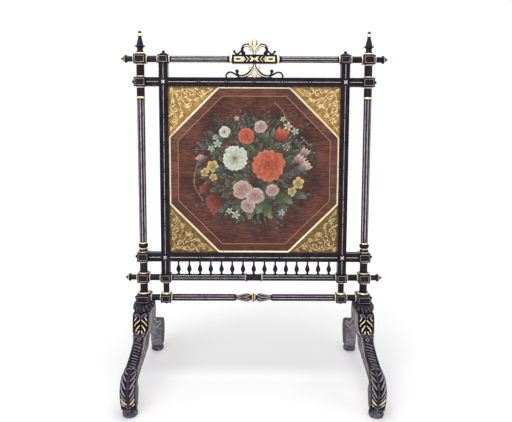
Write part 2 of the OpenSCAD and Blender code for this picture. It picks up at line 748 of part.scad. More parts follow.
// Octagon grown past the opening, up to the rebate's walls
module board_outline() {
    intersection() {
        rebate_face();
        polygon([for (turn = [45 : 90 : 315], way = [left, right])
            let (w = open_w / 2 + rebate_w, h = open_h / 2 + rebate_w, c = corner_cut,
                sx = sign(cos(turn)), sy = sign(sin(turn)), first = (sx * sy > 0) == (way < 0))
            first ? [sx * w, sy * (open_h / 2 - c - rebate_w)] : [sx * (open_w / 2 - c - rebate_w), sy * h]
        ]);
    }
}

module painted_panel() {
    color("#5a2a22") upright(panel_y, panel_t) board_outline();
}

module spandrels() {
    color("#b8944a") upright(panel_y, panel_t) difference() {
        rebate_face();
        for (sx = [left, right], sy = [left, right])
            translate([sx, sy] * side_gap * sqrt(2) / 2) board_outline();
        square([open_w - 2 * corner_cut, big], center = true);
        square([big, open_h - 2 * corner_cut], center = true);
    }
}

module octagon_moulding() {
    color("#e0c070") {
        upright(panel_y - moulding_out, moulding_out) difference() {
            octagon(side_gap);
            octagon(moulding_w - edge);
        }
        upright(panel_y - moulding_out + edge, moulding_out - edge) difference() {
            octagon(side_gap);
            octagon(moulding_w);
        }
    }
}

module backboard() {
    color("#6b5138") upright(backboard_y, backboard_t) rebate_face();
}

module panel_beads() {
    w = open_w / 2 + rebate_w - side_gap;
    h = open_h / 2 + rebate_w - side_gap;
    t = bead_strip_w;
    miter = side_gap;
    color("#4a3828") difference() {
        upright(strip_y, strip_t) for (way = [left, right]) {
            polygon([[-w + miter, way * h], [w - miter, way * h], [w - t - miter, way * (h - t)],
                [-w + t + miter, way * (h - t)]]);
            polygon([[way * w, -h + miter], [way * w, h - miter], [way * (w - t), h - t - miter],
                [way * (w - t), -h + t + miter]]);
        }
        pin_holes();
    }
}

module panel_pins() {
    color("#c8a050") at_pins() {
        translate([0, 0, -edge]) cylinder(d = pin_head_d, h = edge - side_gap);
        translate([0, 0, -side_gap]) cylinder(d = pin_d, h = pin_l + side_gap);
    }
}

// Small pegs of crest and scrolls, each at its place across
crest_pegs = [-crest_w * 0.26, 0, crest_w * 0.26];
scroll_pegs = [-scroll_w * 0.24, scroll_w * 0.24];
module peg_bores(places, z, depth) {
    for (x = places) translate([x, 0, 0]) end_bore(z, crest_peg_d, depth);
}

// Strip of carved wood along a smooth line. Points are [across, up, half breadth], as hundredths of
// half the ornament's width and of its height, and as parts of the stem's breadth.
module scroll(points, w, h) {
    c = smooth([for (p = points) [p.x * w / 200, p.y * h / 100, p.z * stem]]);
    polygon(concat(strip_edge(c, 1), [for (i = [len(c) - 1 : -1 : 0]) strip_edge(c, -1)[i]]));
}

// Round end of a scroll, at the same kind of place
module scroll_eye(x, z, r, w, h) {
    translate([x * w / 200, z * h / 100]) circle(r = r * stem);
}

// Stands a flat ornament upright in the middle of the rail's thickness
module ornament() {
    translate([0, crest_t / 2, 0]) rotate([90, 0, 0]) linear_extrude(crest_t) children();
}

module crest() {
    w = crest_w;
    h = crest_h;
    color("#d8c080") translate([0, 0, tablet_top]) {
        ornament() intersection() {
            union() {
                scroll([[0, 0, 1.8], [0, 13, 1.1], [0, 34, 0.9], [0, 55, 1.9], [0, 72, 2.9], [0, 87, 2.4],
                    [0, 99, 0.5]], w, h);
                for (way = [left, right]) scale([way, 1]) {
                    scroll([[1, 23, 0.7], [6, 40, 0.9], [14, 56, 1.5], [22, 67, 1.4], [29, 78, 0.4]], w, h);
                    scroll([[2, 4, 1.1], [8, 28, 1], [19, 48, 1.2], [33, 61, 1.3], [48, 57, 1.3],
                        [57, 40, 1.2], [58, 21, 1.5], [52, 9, 1.8]], w, h);
                    scroll_eye(52, 10, 2.3, w, h);
                    scroll([[59, 26, 0.8], [70, 16, 0.9], [79, 4, 1], [89, 10, 0.9], [95, 19, 0.9]], w, h);
                    scroll_eye(95, 20, 1.4, w, h);
                    scroll([[18, 45, 0.6], [22, 36, 1.2], [23, 26, 0.4]], w, h);
                }
            }
            translate([-w, 0]) square([2 * w, 2 * h]);
        }
        for (x = crest_pegs) translate([x, 0, -crest_peg_l])
            cylinder(d = crest_peg_d, h = crest_peg_l + edge);
    }
}

module under_crest() {
    w = scroll_w;
    h = scroll_h;
    strip_w = w * 0.62;
    color("#d8c080") translate([0, 0, scroll_z]) {
        ornament() intersection() {
            union() {
                scroll([[0, 100, 1.8], [0, 85, 1.4], [0, 68, 0.5]], w, h);
                scroll([[0, 0, 1.8], [0, 18, 1], [0, 42, 0.4]], w, h);
                for (way = [left, right]) scale([way, 1]) {
                    scroll([[0.5, 98, 1.1], [4, 72, 1], [12, 46, 1.3], [23, 23, 1.4], [37, 11, 1.4],
                        [50, 10, 1.5], [58, 22, 1.2], [60, 38, 1]], w, h);
                    scroll_eye(60, 46, 2.1, w, h);
                    scroll([[48, 9, 1.2], [63, 21, 1], [77, 37, 0.9], [89, 38, 0.9], [97, 22, 0.9],
                        [98, 0, 1]], w, h);
                    scroll([[7, 58, 0.6], [15, 66, 1.2], [21, 77, 0.4]], w, h);
                    scroll([[1, 0, 1.1], [6, 13, 0.7], [12, 32, 0.3]], w, h);
                }
                translate([-strip_w / 2, -edge]) square([strip_w, stem + edge]);
            }
            translate([-w, 0]) square([2 * w, h]);
        }
        for (x = scroll_pegs) translate([x, 0, -crest_peg_l])
            cylinder(d = crest_peg_d, h = crest_peg_l + edge);
        translate([0, 0, h - edge]) cylinder(d = crest_peg_d, h = crest_peg_l + edge);
    }
}

module base_block(side) {
    color("#2b2530") translate([side * post_x, 0, 0]) difference() {
        union() {
            block(base_w, base_d, base_h + cushion_h / 2, base_z + (base_h - cushion_h / 2) / 2);
            scale([1, cushion_d / cushion_w, 1])
                turned(bead(leg_h, leg_h + cushion_h, (cushion_w - cushion_h) / 2, cushion_h / 2));
        }
        end_bore(base_top, post_tenon_d, -post_tenon_l);
        side_bore(-side * base_w / 2, stretcher_z, spigot_d, spigot_l);
        side_bore(side * base_w / 2, stretcher_z, small_spigot_d, small_spigot_l);
        for (y = [front, rear]) translate([0, y * dowel_reach, 0]) end_bore(leg_h, dowel_d, dowel_l / 2);
    }
}

// Side view of a leg: [distance in front of the post, height], as hundredths of the foot's distance and
// of the height between pad and top. First down the outside, then up the foot's scroll and the arch.
leg_outside = [
    [23, 100], [26.5, 97], [28.5, 89], [28.5, 82.6], [30.7, 77.3], [35.8, 72], [44.3, 65.7], [54.7, 59.2],
    [69.3, 53.6], [84, 49.8], [96.7, 46.9], [104.7, 43.5], [111.3, 37.2], [114.6, 29.5], [114.2, 19.8],
    [111.3, 10.1], [106.6, 0]
];
leg_scroll = [[90.6, 0], [86.3, 5.8], [83.7, 12.6], [83.5, 18.8], [85.4, 24.2], [89.6, 28]];
leg_arch = [
    [89.6, 28], [86.8, 31.4], [77.8, 33.8], [67, 36.2], [50, 39.1], [40.6, 41.5], [33.5, 47.3], [27.8, 56],
    [20.8, 63.8], [11.3, 68.6], [0, 70]
];
function leg_line(p) = [for (q = smooth(p)) [q.x * foot_reach / 100, pad_h + q.y * (leg_h - pad_h) / 100]];

// Half of a leg seen from above: [half width, distance in front of the post in the same hundredths]
leg_plan = smooth([
    [knee_w / 2, 0], [knee_w / 2, 14], [knee_w / 2, 28.3], [shank_w / 2 + knee_w / 24, 36],
    [shank_w / 2, 45], [shank_w / 2, 65], [shank_w / 2, 85], [(shank_w + foot_w) / 4, 95],
    [foot_w / 2, 105], [foot_w / 2, 120]
]);
function plan_line(way) = [for (q = leg_plan) [way * q.x, q.y * foot_reach / 100]];

module leg(side, way) {
    color("#2f2a33") translate([side * post_x, 0, 0]) scale([1, way, 1]) difference() {
        intersection() {
            translate([-foot_w, 0, 0]) rotate([90, 0, 90]) linear_extrude(2 * foot_w)
                polygon(clean(concat([[0, leg_h]], leg_line(leg_outside), leg_line(leg_scroll),
                    leg_line(leg_arch))));
            linear_extrude(leg_h + edge)
                polygon(concat(plan_line(1), [for (i = [len(leg_plan) - 1 : -1 : 0]) plan_line(-1)[i]]));
        }
        translate([0, dowel_reach, 0]) end_bore(leg_h, dowel_d, -dowel_l / 2);
        translate([0, foot_reach, 0]) end_bore(pad_h, spigot_d, spigot_l);
    }
}

module leg_dowels() {
    color("#a08060") for (side = [left, right], y = [front, rear])
        translate([side * post_x, y * dowel_reach, leg_h - dowel_l / 2]) cylinder(d = dowel_d, h = dowel_l);
}

module foot(side, way) {
    pad_r = pad_d / 2;
    color("#3a3440") translate([side * post_x, way * foot_reach, 0]) turned(concat(
        settle(0, pad_h * 0.4, pad_r - 3 * edge, pad_r),
        flare(pad_h * 0.4, pad_h * 0.75, pad_r, pad_r - 5 * edge),
        [[pad_r - 6 * edge, pad_h]],
        flipped(tenon(pad_h - spigot_l, pad_h, spigot_d), pad_h)
    ));
}

post(left);  // post_left
post(right);  // post_right
finial(left);  // finial_left
finial(right);  // finial_right
stile(left);  // stile_left
stile(right);  // stile_right
stile_cap(left);  // stile_cap_left
stile_cap(right);  // stile_cap_right
stile_drop(left);  // stile_drop_left
stile_drop(right);  // stile_drop_right
top_rail();
link(left, top_z, post_x - post_block_w / 2);  // top_link_left
link(right, top_z, post_x - post_block_w / 2);  // top_link_right
panel_rail(upper_z);  // upper_panel_rail
panel_rail(lower_z);  // lower_panel_rail
gallery_rail();
link(left, gallery_z, post_x - post_block_w / 2);  // gallery_link_left
link(right, gallery_z, post_x - post_block_w / 2);  // gallery_link_right
stretcher();
link(left, stretcher_z, post_x - base_w / 2);  // stretcher_link_left
link(right, stretcher_z, post_x - base_w / 2);  // stretcher_link_right
point(left, top_z);  // top_point_left
point(right, top_z);  // top_point_right
point(left, gallery_z);  // gallery_point_left
point(right, gallery_z);  // gallery_point_right
post_buttons();
crest();
under_crest();
painted_panel();
octagon_moulding();
spandrels();
backboard();
panel_beads();
panel_pins();
base_block(left);  // base_block_left
base_block(right);  // base_block_right
leg_dowels();
leg(left, front);  // leg_front_left
leg(right, front);  // leg_front_right
leg(left, rear);  // leg_rear_left
leg(right, rear);  // leg_rear_right
foot(left, front);  // foot_front_left
foot(right, front);  // foot_front_right
foot(left, rear);  // foot_rear_left
foot(right, rear);  // foot_rear_right
for (i = [1 : spindle_count]) spindle(i);
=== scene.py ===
import math
import bpy
import bmesh
from mathutils import Matrix, Vector


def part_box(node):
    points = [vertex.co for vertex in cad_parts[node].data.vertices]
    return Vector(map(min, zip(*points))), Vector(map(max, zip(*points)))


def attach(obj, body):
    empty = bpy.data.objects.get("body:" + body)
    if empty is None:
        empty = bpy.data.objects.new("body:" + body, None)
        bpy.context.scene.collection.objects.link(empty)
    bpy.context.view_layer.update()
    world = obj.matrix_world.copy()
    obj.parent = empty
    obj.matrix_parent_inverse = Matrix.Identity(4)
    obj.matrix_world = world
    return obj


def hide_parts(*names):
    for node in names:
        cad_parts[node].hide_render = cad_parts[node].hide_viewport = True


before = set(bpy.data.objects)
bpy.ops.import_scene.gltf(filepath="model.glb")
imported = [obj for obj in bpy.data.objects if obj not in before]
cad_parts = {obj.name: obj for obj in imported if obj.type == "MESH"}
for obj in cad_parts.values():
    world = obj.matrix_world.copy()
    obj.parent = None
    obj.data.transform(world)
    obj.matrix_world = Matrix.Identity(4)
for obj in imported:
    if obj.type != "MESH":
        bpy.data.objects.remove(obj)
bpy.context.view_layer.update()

mm = 0.001
left, right = -1, 1
front, rear = -1, 1


# ---- places, read from the frame

def low(node):
    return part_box(node)[0]


def high(node):
    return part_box(node)[1]


def middle(node):
    return (low(node) + high(node)) / 2


postX = middle("post_right").x
stileX = middle("stile_right").x
topZ = middle("top_rail").z
upperZ = middle("upper_panel_rail").z
lowerZ = middle("lower_panel_rail").z
galleryZ = middle("gallery_rail").z
stretcherZ = middle("stretcher").z
frameFace = low("upper_panel_rail").y
panelFace = low("painted_panel").y
panelMid = middle("painted_panel").z
legTop = high("leg_front_right").z
padTop = low("leg_front_right").z
footReach = -middle("foot_front_right").y
tabletTop = high("top_rail").z
tabletFace = low("top_rail").y


# ---- small helpers

def toLinear(hexColour, alpha=1.0):
    parts = [int(hexColour[i:i + 2], 16) / 255 for i in (1, 3, 5)]
    return [p / 12.92 if p <= 0.04045 else ((p + 0.055) / 1.055) ** 2.4 for p in parts] + [alpha]


def addNode(tree, kind, inputs=None, **settings):
    node = tree.nodes.new(kind)
    for name, value in settings.items():
        setattr(node, name, value)
    for key, value in (inputs or {}).items():
        if isinstance(value, bpy.types.NodeSocket):
            tree.links.new(value, node.inputs[key])
        else:
            node.inputs[key].default_value = value
    return node


def newMaterial(name):
    material = bpy.data.materials.new(name)
    material.use_nodes = True
    tree = material.node_tree
    tree.nodes.clear()
    shader = addNode(tree, "ShaderNodeBsdfPrincipled")
    addNode(tree, "ShaderNodeOutputMaterial", {"Surface": shader.outputs["BSDF"]})
    return material, tree, shader


def newShape():
    return {"verts": [], "faces": [], "slots": []}


def addTo(shape, verts, faces, slot=0):
    start = len(shape["verts"])
    shape["verts"] += [tuple(v) for v in verts]
    shape["faces"] += [[start + i for i in face] for face in faces]
    shape["slots"] += [slot] * len(faces) if isinstance(slot, int) else list(slot)


def gridFaces(rows, columns, wrapColumns=False):
    faces = []
    for r in range(rows - 1):
        for c in range(columns if wrapColumns else columns - 1):
            d = (c + 1) % columns
            faces.append([r * columns + c, r * columns + d, (r + 1) * columns + d, (r + 1) * columns + c])
    return faces


def smooth(points, steps=6):  # Catmull and Rom's curve, as the solids' outlines use
    out = []
    last = len(points) - 1
    for i in range(last):
        a, b, c, d = points[max(i - 1, 0)], points[i], points[i + 1], points[min(i + 2, last)]
        for k in range(steps):
            t = k / steps
            out.append([q + (r - p) * t / 2 + (2 * p - 5 * q + 4 * r - s) * t * t / 2
                        + (3 * q - p - 3 * r + s) * t ** 3 / 2 for p, q, r, s in zip(a, b, c, d)])
    return out + [list(points[last])]


def softShade(mesh, angle=38):
    mesh.polygons.foreach_set("use_smooth", [True] * len(mesh.polygons))
    mesh.set_sharp_from_angle(angle=math.radians(angle))


def meshFrom(name, shape, materials, angle=38, fixNormals=True):
    mesh = bpy.data.meshes.new(name)
    mesh.from_pydata(shape["verts"], [], shape["faces"])
    for material in materials:
        mesh.materials.append(material)
    mesh.polygons.foreach_set("material_index", shape["slots"])
    bm = bmesh.new()
    bm.from_mesh(mesh)
    bmesh.ops.remove_doubles(bm, verts=bm.verts, dist=1e-6)
    bmesh.ops.dissolve_degenerate(bm, edges=bm.edges, dist=1e-7)
    if fixNormals:
        bmesh.ops.recalc_face_normals(bm, faces=bm.faces)
    bm.to_mesh(mesh)
    bm.free()
    softShade(mesh, angle)
    return mesh


def newPiece(name, mesh):
    piece = bpy.data.objects.new(name, mesh)
    bpy.context.scene.collection.objects.link(piece)
    return piece


def hold(piece, slot, *nodes):  # rides on the frame, and stands for the nodes it replaces
    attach(piece, "root")
    if nodes:
        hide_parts(*nodes)
    return piece


def newTree(name, inputs):
    tree = bpy.data.node_groups.new(name, "GeometryNodeTree")
    tree.interface.new_socket(name="Geometry", in_out="INPUT", socket_type="NodeSocketGeometry")
    for label, kind, value in inputs:
        socket = tree.interface.new_socket(name=label, in_out="INPUT", socket_type="NodeSocket" + kind)
        if value is not None:
            socket.default_value = value
    tree.interface.new_socket(name="Geometry", in_out="OUTPUT", socket_type="NodeSocketGeometry")
    return tree, addNode(tree, "NodeGroupInput").outputs


def endTree(tree, geometry, material):
    real = addNode(tree, "GeometryNodeRealizeInstances", {"Geometry": geometry})
    dressed = addNode(tree, "GeometryNodeSetMaterial", {"Geometry": real.outputs[0], "Material": material})
    addNode(tree, "NodeGroupOutput", {0: dressed.outputs[0]})


def grow(piece, tree, values, angle=38):  # runs a tree on the piece and keeps the result as a plain mesh
    modifier = piece.modifiers.new(tree.name, "NODES")
    modifier.node_group = tree
    for item in tree.interface.items_tree:
        if item.item_type == "SOCKET" and item.in_out == "INPUT" and item.name in values:
            modifier[item.identifier] = values[item.name]
    bpy.context.view_layer.update()
    graph = bpy.context.evaluated_depsgraph_get()
    mesh = bpy.data.meshes.new_from_object(piece.evaluated_get(graph))
    piece.modifiers.clear()
    piece.data = mesh
    softShade(mesh, angle)
    return piece


# ---- materials

def patternFrom(tree, size, stretch=(1, 1, 1), detail=4.0, roughness=0.55):  # noise of a real size in metres
    place = addNode(tree, "ShaderNodeTexCoord").outputs["Object"]
    mapped = addNode(tree, "ShaderNodeMapping", {"Vector": place, "Scale": stretch}).outputs[0]
    noise = addNode(tree, "ShaderNodeTexNoise", {"Vector": mapped, "Scale": 1 / size, "Detail": detail,
                                                 "Roughness": roughness})
    return noise.outputs["Fac"]


def ramp(tree, factor, stops):
    node = addNode(tree, "ShaderNodeValToRGB", {"Fac": factor})
    elements = node.color_ramp.elements
    while len(elements) < len(stops):
        elements.new(0.5)
    for element, (place, colour) in zip(elements, stops):
        element.position = place
        element.color = toLinear(colour) if isinstance(colour, str) else (colour, colour, colour, 1)
    return node.outputs["Color"]


def bump(tree, height, depth, strength=1.0):
    return addNode(tree, "ShaderNodeBump", {"Height": height, "Distance": depth, "Strength": strength}).outputs[0]


ebonisedLook = {"deep": "#0b0911", "worn": "#443a54", "grainMm": 2.2, "patchMm": 26}


def ebonisedBeech():  # beech stained black and shellacked: violet-brown where the polish is rubbed, soft gloss
    material, tree, shader = newMaterial("ebonisedBeech")
    patches = patternFrom(tree, ebonisedLook["patchMm"] * mm)
    grain = patternFrom(tree, ebonisedLook["grainMm"] * mm, (1, 1, 0.12), 3.0)
    mixed = addNode(tree, "ShaderNodeMath", {0: patches, 1: grain}, operation="MULTIPLY").outputs[0]
    colour = ramp(tree, mixed, [(0.12, ebonisedLook["deep"]), (0.3, "#1c1626"), (0.46, ebonisedLook["worn"])])
    rough = ramp(tree, patches, [(0.3, 0.26), (0.7, 0.42)])
    tree.links.new(colour, shader.inputs["Base Color"])
    tree.links.new(rough, shader.inputs["Roughness"])
    tree.links.new(bump(tree, grain, 0.12 * mm), shader.inputs["Normal"])
    shader.inputs["Specular IOR Level"].default_value = 0.15
    shader.inputs["Coat Weight"].default_value = 0.05
    shader.inputs["Coat Roughness"].default_value = 0.15
    return material


giltLook = {"bright": "#fbf0d2", "leaf": "#efd9a6", "rubbed": "#8a6a48", "patchMm": 6}


def giltGesso(name="oilGilding", look=giltLook, roughLow=0.3, roughHigh=0.5):  # gold leaf, rubbed to the bole in places
    material, tree, shader = newMaterial(name)
    patches = patternFrom(tree, look["patchMm"] * mm, detail=6.0, roughness=0.65)
    colour = ramp(tree, patches, [(0.3, look["rubbed"]), (0.4, look["leaf"]), (0.62, look["bright"])])
    metal = ramp(tree, patches, [(0.28, 0.35), (0.42, look.get("metal", 0.9))])
    rough = ramp(tree, patches, [(0.3, roughHigh), (0.7, roughLow)])
    tree.links.new(colour, shader.inputs["Base Color"])
    tree.links.new(metal, shader.inputs["Metallic"])
    tree.links.new(rough, shader.inputs["Roughness"])
    tree.links.new(bump(tree, patches, 0.15 * mm), shader.inputs["Normal"])
    return material


ebonised = ebonisedBeech()
gilt = giltGesso()
dullGilt = giltGesso("rubbedGilding", {"bright": "#e0d3ca", "leaf": "#bbaaa0", "rubbed": "#857a7b", "patchMm": 16}, 0.38, 0.55)
# pale flute lines of the stretcher and top rail: part gilding, part painted highlight
fluteGiltSheen = giltGesso("paleFlutingPaintedSheen", {"bright": "#ddd3cd", "leaf": "#c0b5b0", "rubbed": "#8d8587", "patchMm": 22}, 0.38, 0.55)
# violet-grey lines in the posts' flutes: rubbed gilding carrying a painted sheen
sheenFluting = giltGesso("violetFlutingPaintedSheen", {"bright": "#cbbfc6", "leaf": "#a497a1", "rubbed": "#5f5560", "patchMm": 14, "metal": 0.3},
                        0.42, 0.6)
print("materials made")


# ---- turned and moulded pieces: the solids' own shapes, with gilding laid on them

blocks = {"post": 35 * mm, "postHigh": 27 * mm, "stile": 31 * mm, "stileHigh": 25 * mm}
turning = {"ring": 4 * mm, "flute": 0.8 * mm, "railFlute": 0.97 * mm, "endRing": 3.6 * mm, "postShaft": 22.5 * mm, "postNeck": 23.5 * mm}


def dressed(node, name, pick, materials, slot="parcel_gilt", angle=38):
    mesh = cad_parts[node].data.copy()
    mesh.name = name
    mesh.materials.clear()
    for material in materials:
        mesh.materials.append(material)
    bm = bmesh.new()
    bm.from_mesh(mesh)
    bmesh.ops.remove_doubles(bm, verts=bm.verts, dist=2e-6)
    for face in bm.faces:
        face.material_index = pick(face.calc_center_median(), face.normal)
    bm.to_mesh(mesh)
    bm.free()
    for layer in [a for a in mesh.attributes if a.name == "custom_normal"]:
        mesh.attributes.remove(layer)
    softShade(mesh, angle)
    return hold(newPiece(name, mesh), slot, node)


def radiusAbout(centre, x=None, z=None):
    return math.hypot(centre.x - x, centre.y) if z is None else math.hypot(centre.y, centre.z - z)


def postGilding(side):
    rings = []  # heights of the gilt turnings
    for z in (galleryZ, lowerZ, upperZ, topZ):
        rings += [(z - blocks["postHigh"] / 2 - turning["ring"], z - blocks["postHigh"] / 2)]
    for z in (galleryZ, lowerZ, upperZ):
        rings += [(z + blocks["postHigh"] / 2, z + blocks["postHigh"] / 2 + turning["ring"])]
    flange = high("base_block_right").z
    rings += [(flange + 1.5 * mm, flange + 5 * mm)]
    collar = upperZ - blocks["postHigh"] / 2 - 39 * mm
    rings += [(collar + 3 * mm, collar + 9 * mm)]
    shaftFoot = lowerZ + blocks["postHigh"] / 2 + 31.5 * mm
    rings += [(shaftFoot - 20 * mm, shaftFoot - 16.5 * mm), (shaftFoot - 3 * mm, shaftFoot)]

    def pick(c, n):
        r = radiusAbout(c, x=side * postX)
        if abs(n.z) < 0.999 and r < blocks["post"] / 2 and any(a < c.z < b for a, b in rings):
            return 1
        shaft = turning["postShaft"] if shaftFoot < c.z < collar else turning["postNeck"]
        fluted = shaftFoot < c.z < collar
        return 2 if fluted and 0.6 * shaft / 2 < r < shaft / 2 - turning["flute"] and abs(n.z) < 0.2 else 0
    return pick


def railGilding(z, shaft, rings, plain=0.0, dull=0.0, upper=2):
    def pick(c, n):
        r = radiusAbout(c, z=z)
        if any(a < abs(c.x) < b for a, b in rings) and abs(n.x) < 0.999 and r > 5.5 * mm:
            # rings nearer the middle than dull take the second material; on the gallery rail that is the violet sheen
            # material, a painted highlight on the spool's rings
            return 2 if abs(c.x) < dull else 1
        fluted = 5.5 * mm < r < shaft / 2 - turning["railFlute"] and abs(n.x) < 0.2 and abs(c.x) > plain
        # with upper set, the flute above the rail's axis takes the violet sheen material, darker than the pale lower
        # flutes: painted shade on the upper flute
        return (upper if c.z - z > 3 * mm else 2) if fluted else 0
    return pick


for word, side in (("Left", left), ("Right", right)):
    end = word.lower()
    dressed(f"post_{end}", f"post{word}", postGilding(side), [ebonised, gilt, sheenFluting])

stileIn = stileX - blocks["stile"] / 2
endRing = (stileIn - turning["endRing"], stileIn + 0.1 * mm)
tabletEnd = 66 * mm
dressed("gallery_rail", "galleryRail", railGilding(galleryZ, 21 * mm, [endRing, (23 * mm, 28 * mm)], dull=30 * mm),
        [ebonised, dullGilt, sheenFluting])
dressed("stretcher", "stretcherRail", railGilding(stretcherZ, 21.2 * mm, [endRing, (1.5 * mm, 4.5 * mm)], 70 * mm, upper=3),
        [ebonised, gilt, fluteGiltSheen, sheenFluting])
dressed("top_rail", "topRail", railGilding(topZ, 19 * mm, [endRing, (tabletEnd + 1.5 * mm, tabletEnd + 7.5 * mm)], upper=3),
        [ebonised, gilt, fluteGiltSheen, sheenFluting])


def linkGilding(inner, outer):
    def pick(c, n):
        near = min(abs(c.x) - inner, outer - abs(c.x))
        return 1 if 0 < near < turning["endRing"] and abs(n.x) < 0.999 else 0
    return pick


stileOut = stileX + blocks["stile"] / 2
for word, side in (("Left", left), ("Right", right)):
    end = word.lower()
    for level, outer in (("top", postX - blocks["post"] / 2), ("gallery", postX - blocks["post"] / 2),
                         ("stretcher", postX - 21 * mm)):
        dressed(f"{level}_link_{end}", f"{level}Link{word}", linkGilding(stileOut, outer), [ebonised, gilt])
    for level in ("top", "gallery"):
        start = postX + blocks["post"] / 2

        def pick(c, n, start=start):
            along = abs(c.x) - start
            ringed = 0 < along < turning["endRing"] or 27 * mm < along < 29 * mm
            return 1 if ringed and abs(n.x) < 0.999 else 0
        dressed(f"{level}_point_{end}", f"{level}Point{word}", pick, [ebonised, gilt])
    budZ = high(f"finial_{end}").z - 17 * mm
    foot = topZ + blocks["postHigh"] / 2

    def pick(c, n, budZ=budZ, foot=foot):
        return 1 if budZ + 1 * mm < c.z < budZ + 9 * mm or foot + 0.5 * mm < c.z < foot + 4.5 * mm else 0
    dressed(f"finial_{end}", f"finial{word}", pick, [ebonised, gilt])
    dressed(f"stile_cap_{end}", f"stileCap{word}", lambda c, n: 0, [ebonised], "ebonised")
    dressed(f"stile_drop_{end}", f"stileDrop{word}", lambda c, n: 0, [ebonised], "ebonised")
    stileRing = (galleryZ - blocks["stileHigh"] / 2 - 4 * mm, galleryZ - blocks["stileHigh"] / 2)
    neckFoot = (stretcherZ + blocks["stileHigh"] / 2 + 1 * mm, stretcherZ + blocks["stileHigh"] / 2 + 5 * mm)

    def pick(c, n, side=side):
        r = radiusAbout(c, x=side * stileX)
        gilded = any(a < c.z < b for a, b in (stileRing, neckFoot)) and abs(n.z) < 0.999
        return 1 if gilded and r < blocks["stile"] / 2 else 0
    dressed(f"stile_{end}", f"stile{word}", pick, [ebonised, gilt])
for level in ("upper", "lower"):
    dressed(f"{level}_panel_rail", f"{level}PanelRail", lambda c, n: 0, [ebonised])
dressed("post_buttons", "postButtons", lambda c, n: 0, [ebonised], "ebonised")
print("turned pieces dressed")


# ---- shapes that repeat, made with Geometry Nodes

def lens(length, width, rise, rows=7, columns=5, tip=0.5, fold=0.0, blunt=0.8):  # a carved leaf or petal along +Z, front to -Y
    shape = newShape()
    grids = {}
    for side, factor in (("front", -1), ("back", 0.12)):
        points = []
        for r in range(rows):
            v = r / (rows - 1)
            half = width / 2 * math.sin(math.pi * v ** tip) ** blunt if 0 < r < rows - 1 else 0
            for c in range(columns):
                u = 2 * c / (columns - 1) - 1
                crown = math.sin(math.pi * min(max(v, 0), 1)) ** 0.7 * (1 - u * u) * (1 - fold * (1 - abs(u)) ** 2)
                points.append((u * half, factor * rise * crown, v * length))
        grids[side] = points
    faces = gridFaces(rows, columns)
    addTo(shape, grids["front"], faces)
    addTo(shape, grids["back"], [f[::-1] for f in faces])
    return shape


def markLength(mesh, length):  # 0 at a petal's root, 1 at its tip, for the paint's shading
    shade = mesh.attributes.new("shade", "FLOAT", "POINT")
    shade.data.foreach_set("value", [max(0.0, min(1.0, v.co.z / length)) for v in mesh.vertices])
    return mesh


def placesAt(name, places):  # points as (x, y, z, turn in degrees, size)
    mesh = bpy.data.meshes.new(name)
    mesh.from_pydata([p[:3] for p in places], [], [])
    for label, column, factor in (("turn", 3, math.pi / 180), ("size", 4, 1)):
        layer = mesh.attributes.new(label, "FLOAT", "POINT")
        layer.data.foreach_set("value", [p[column] * factor for p in places])
    holder = newPiece(name, mesh)
    holder.hide_render = True
    return holder


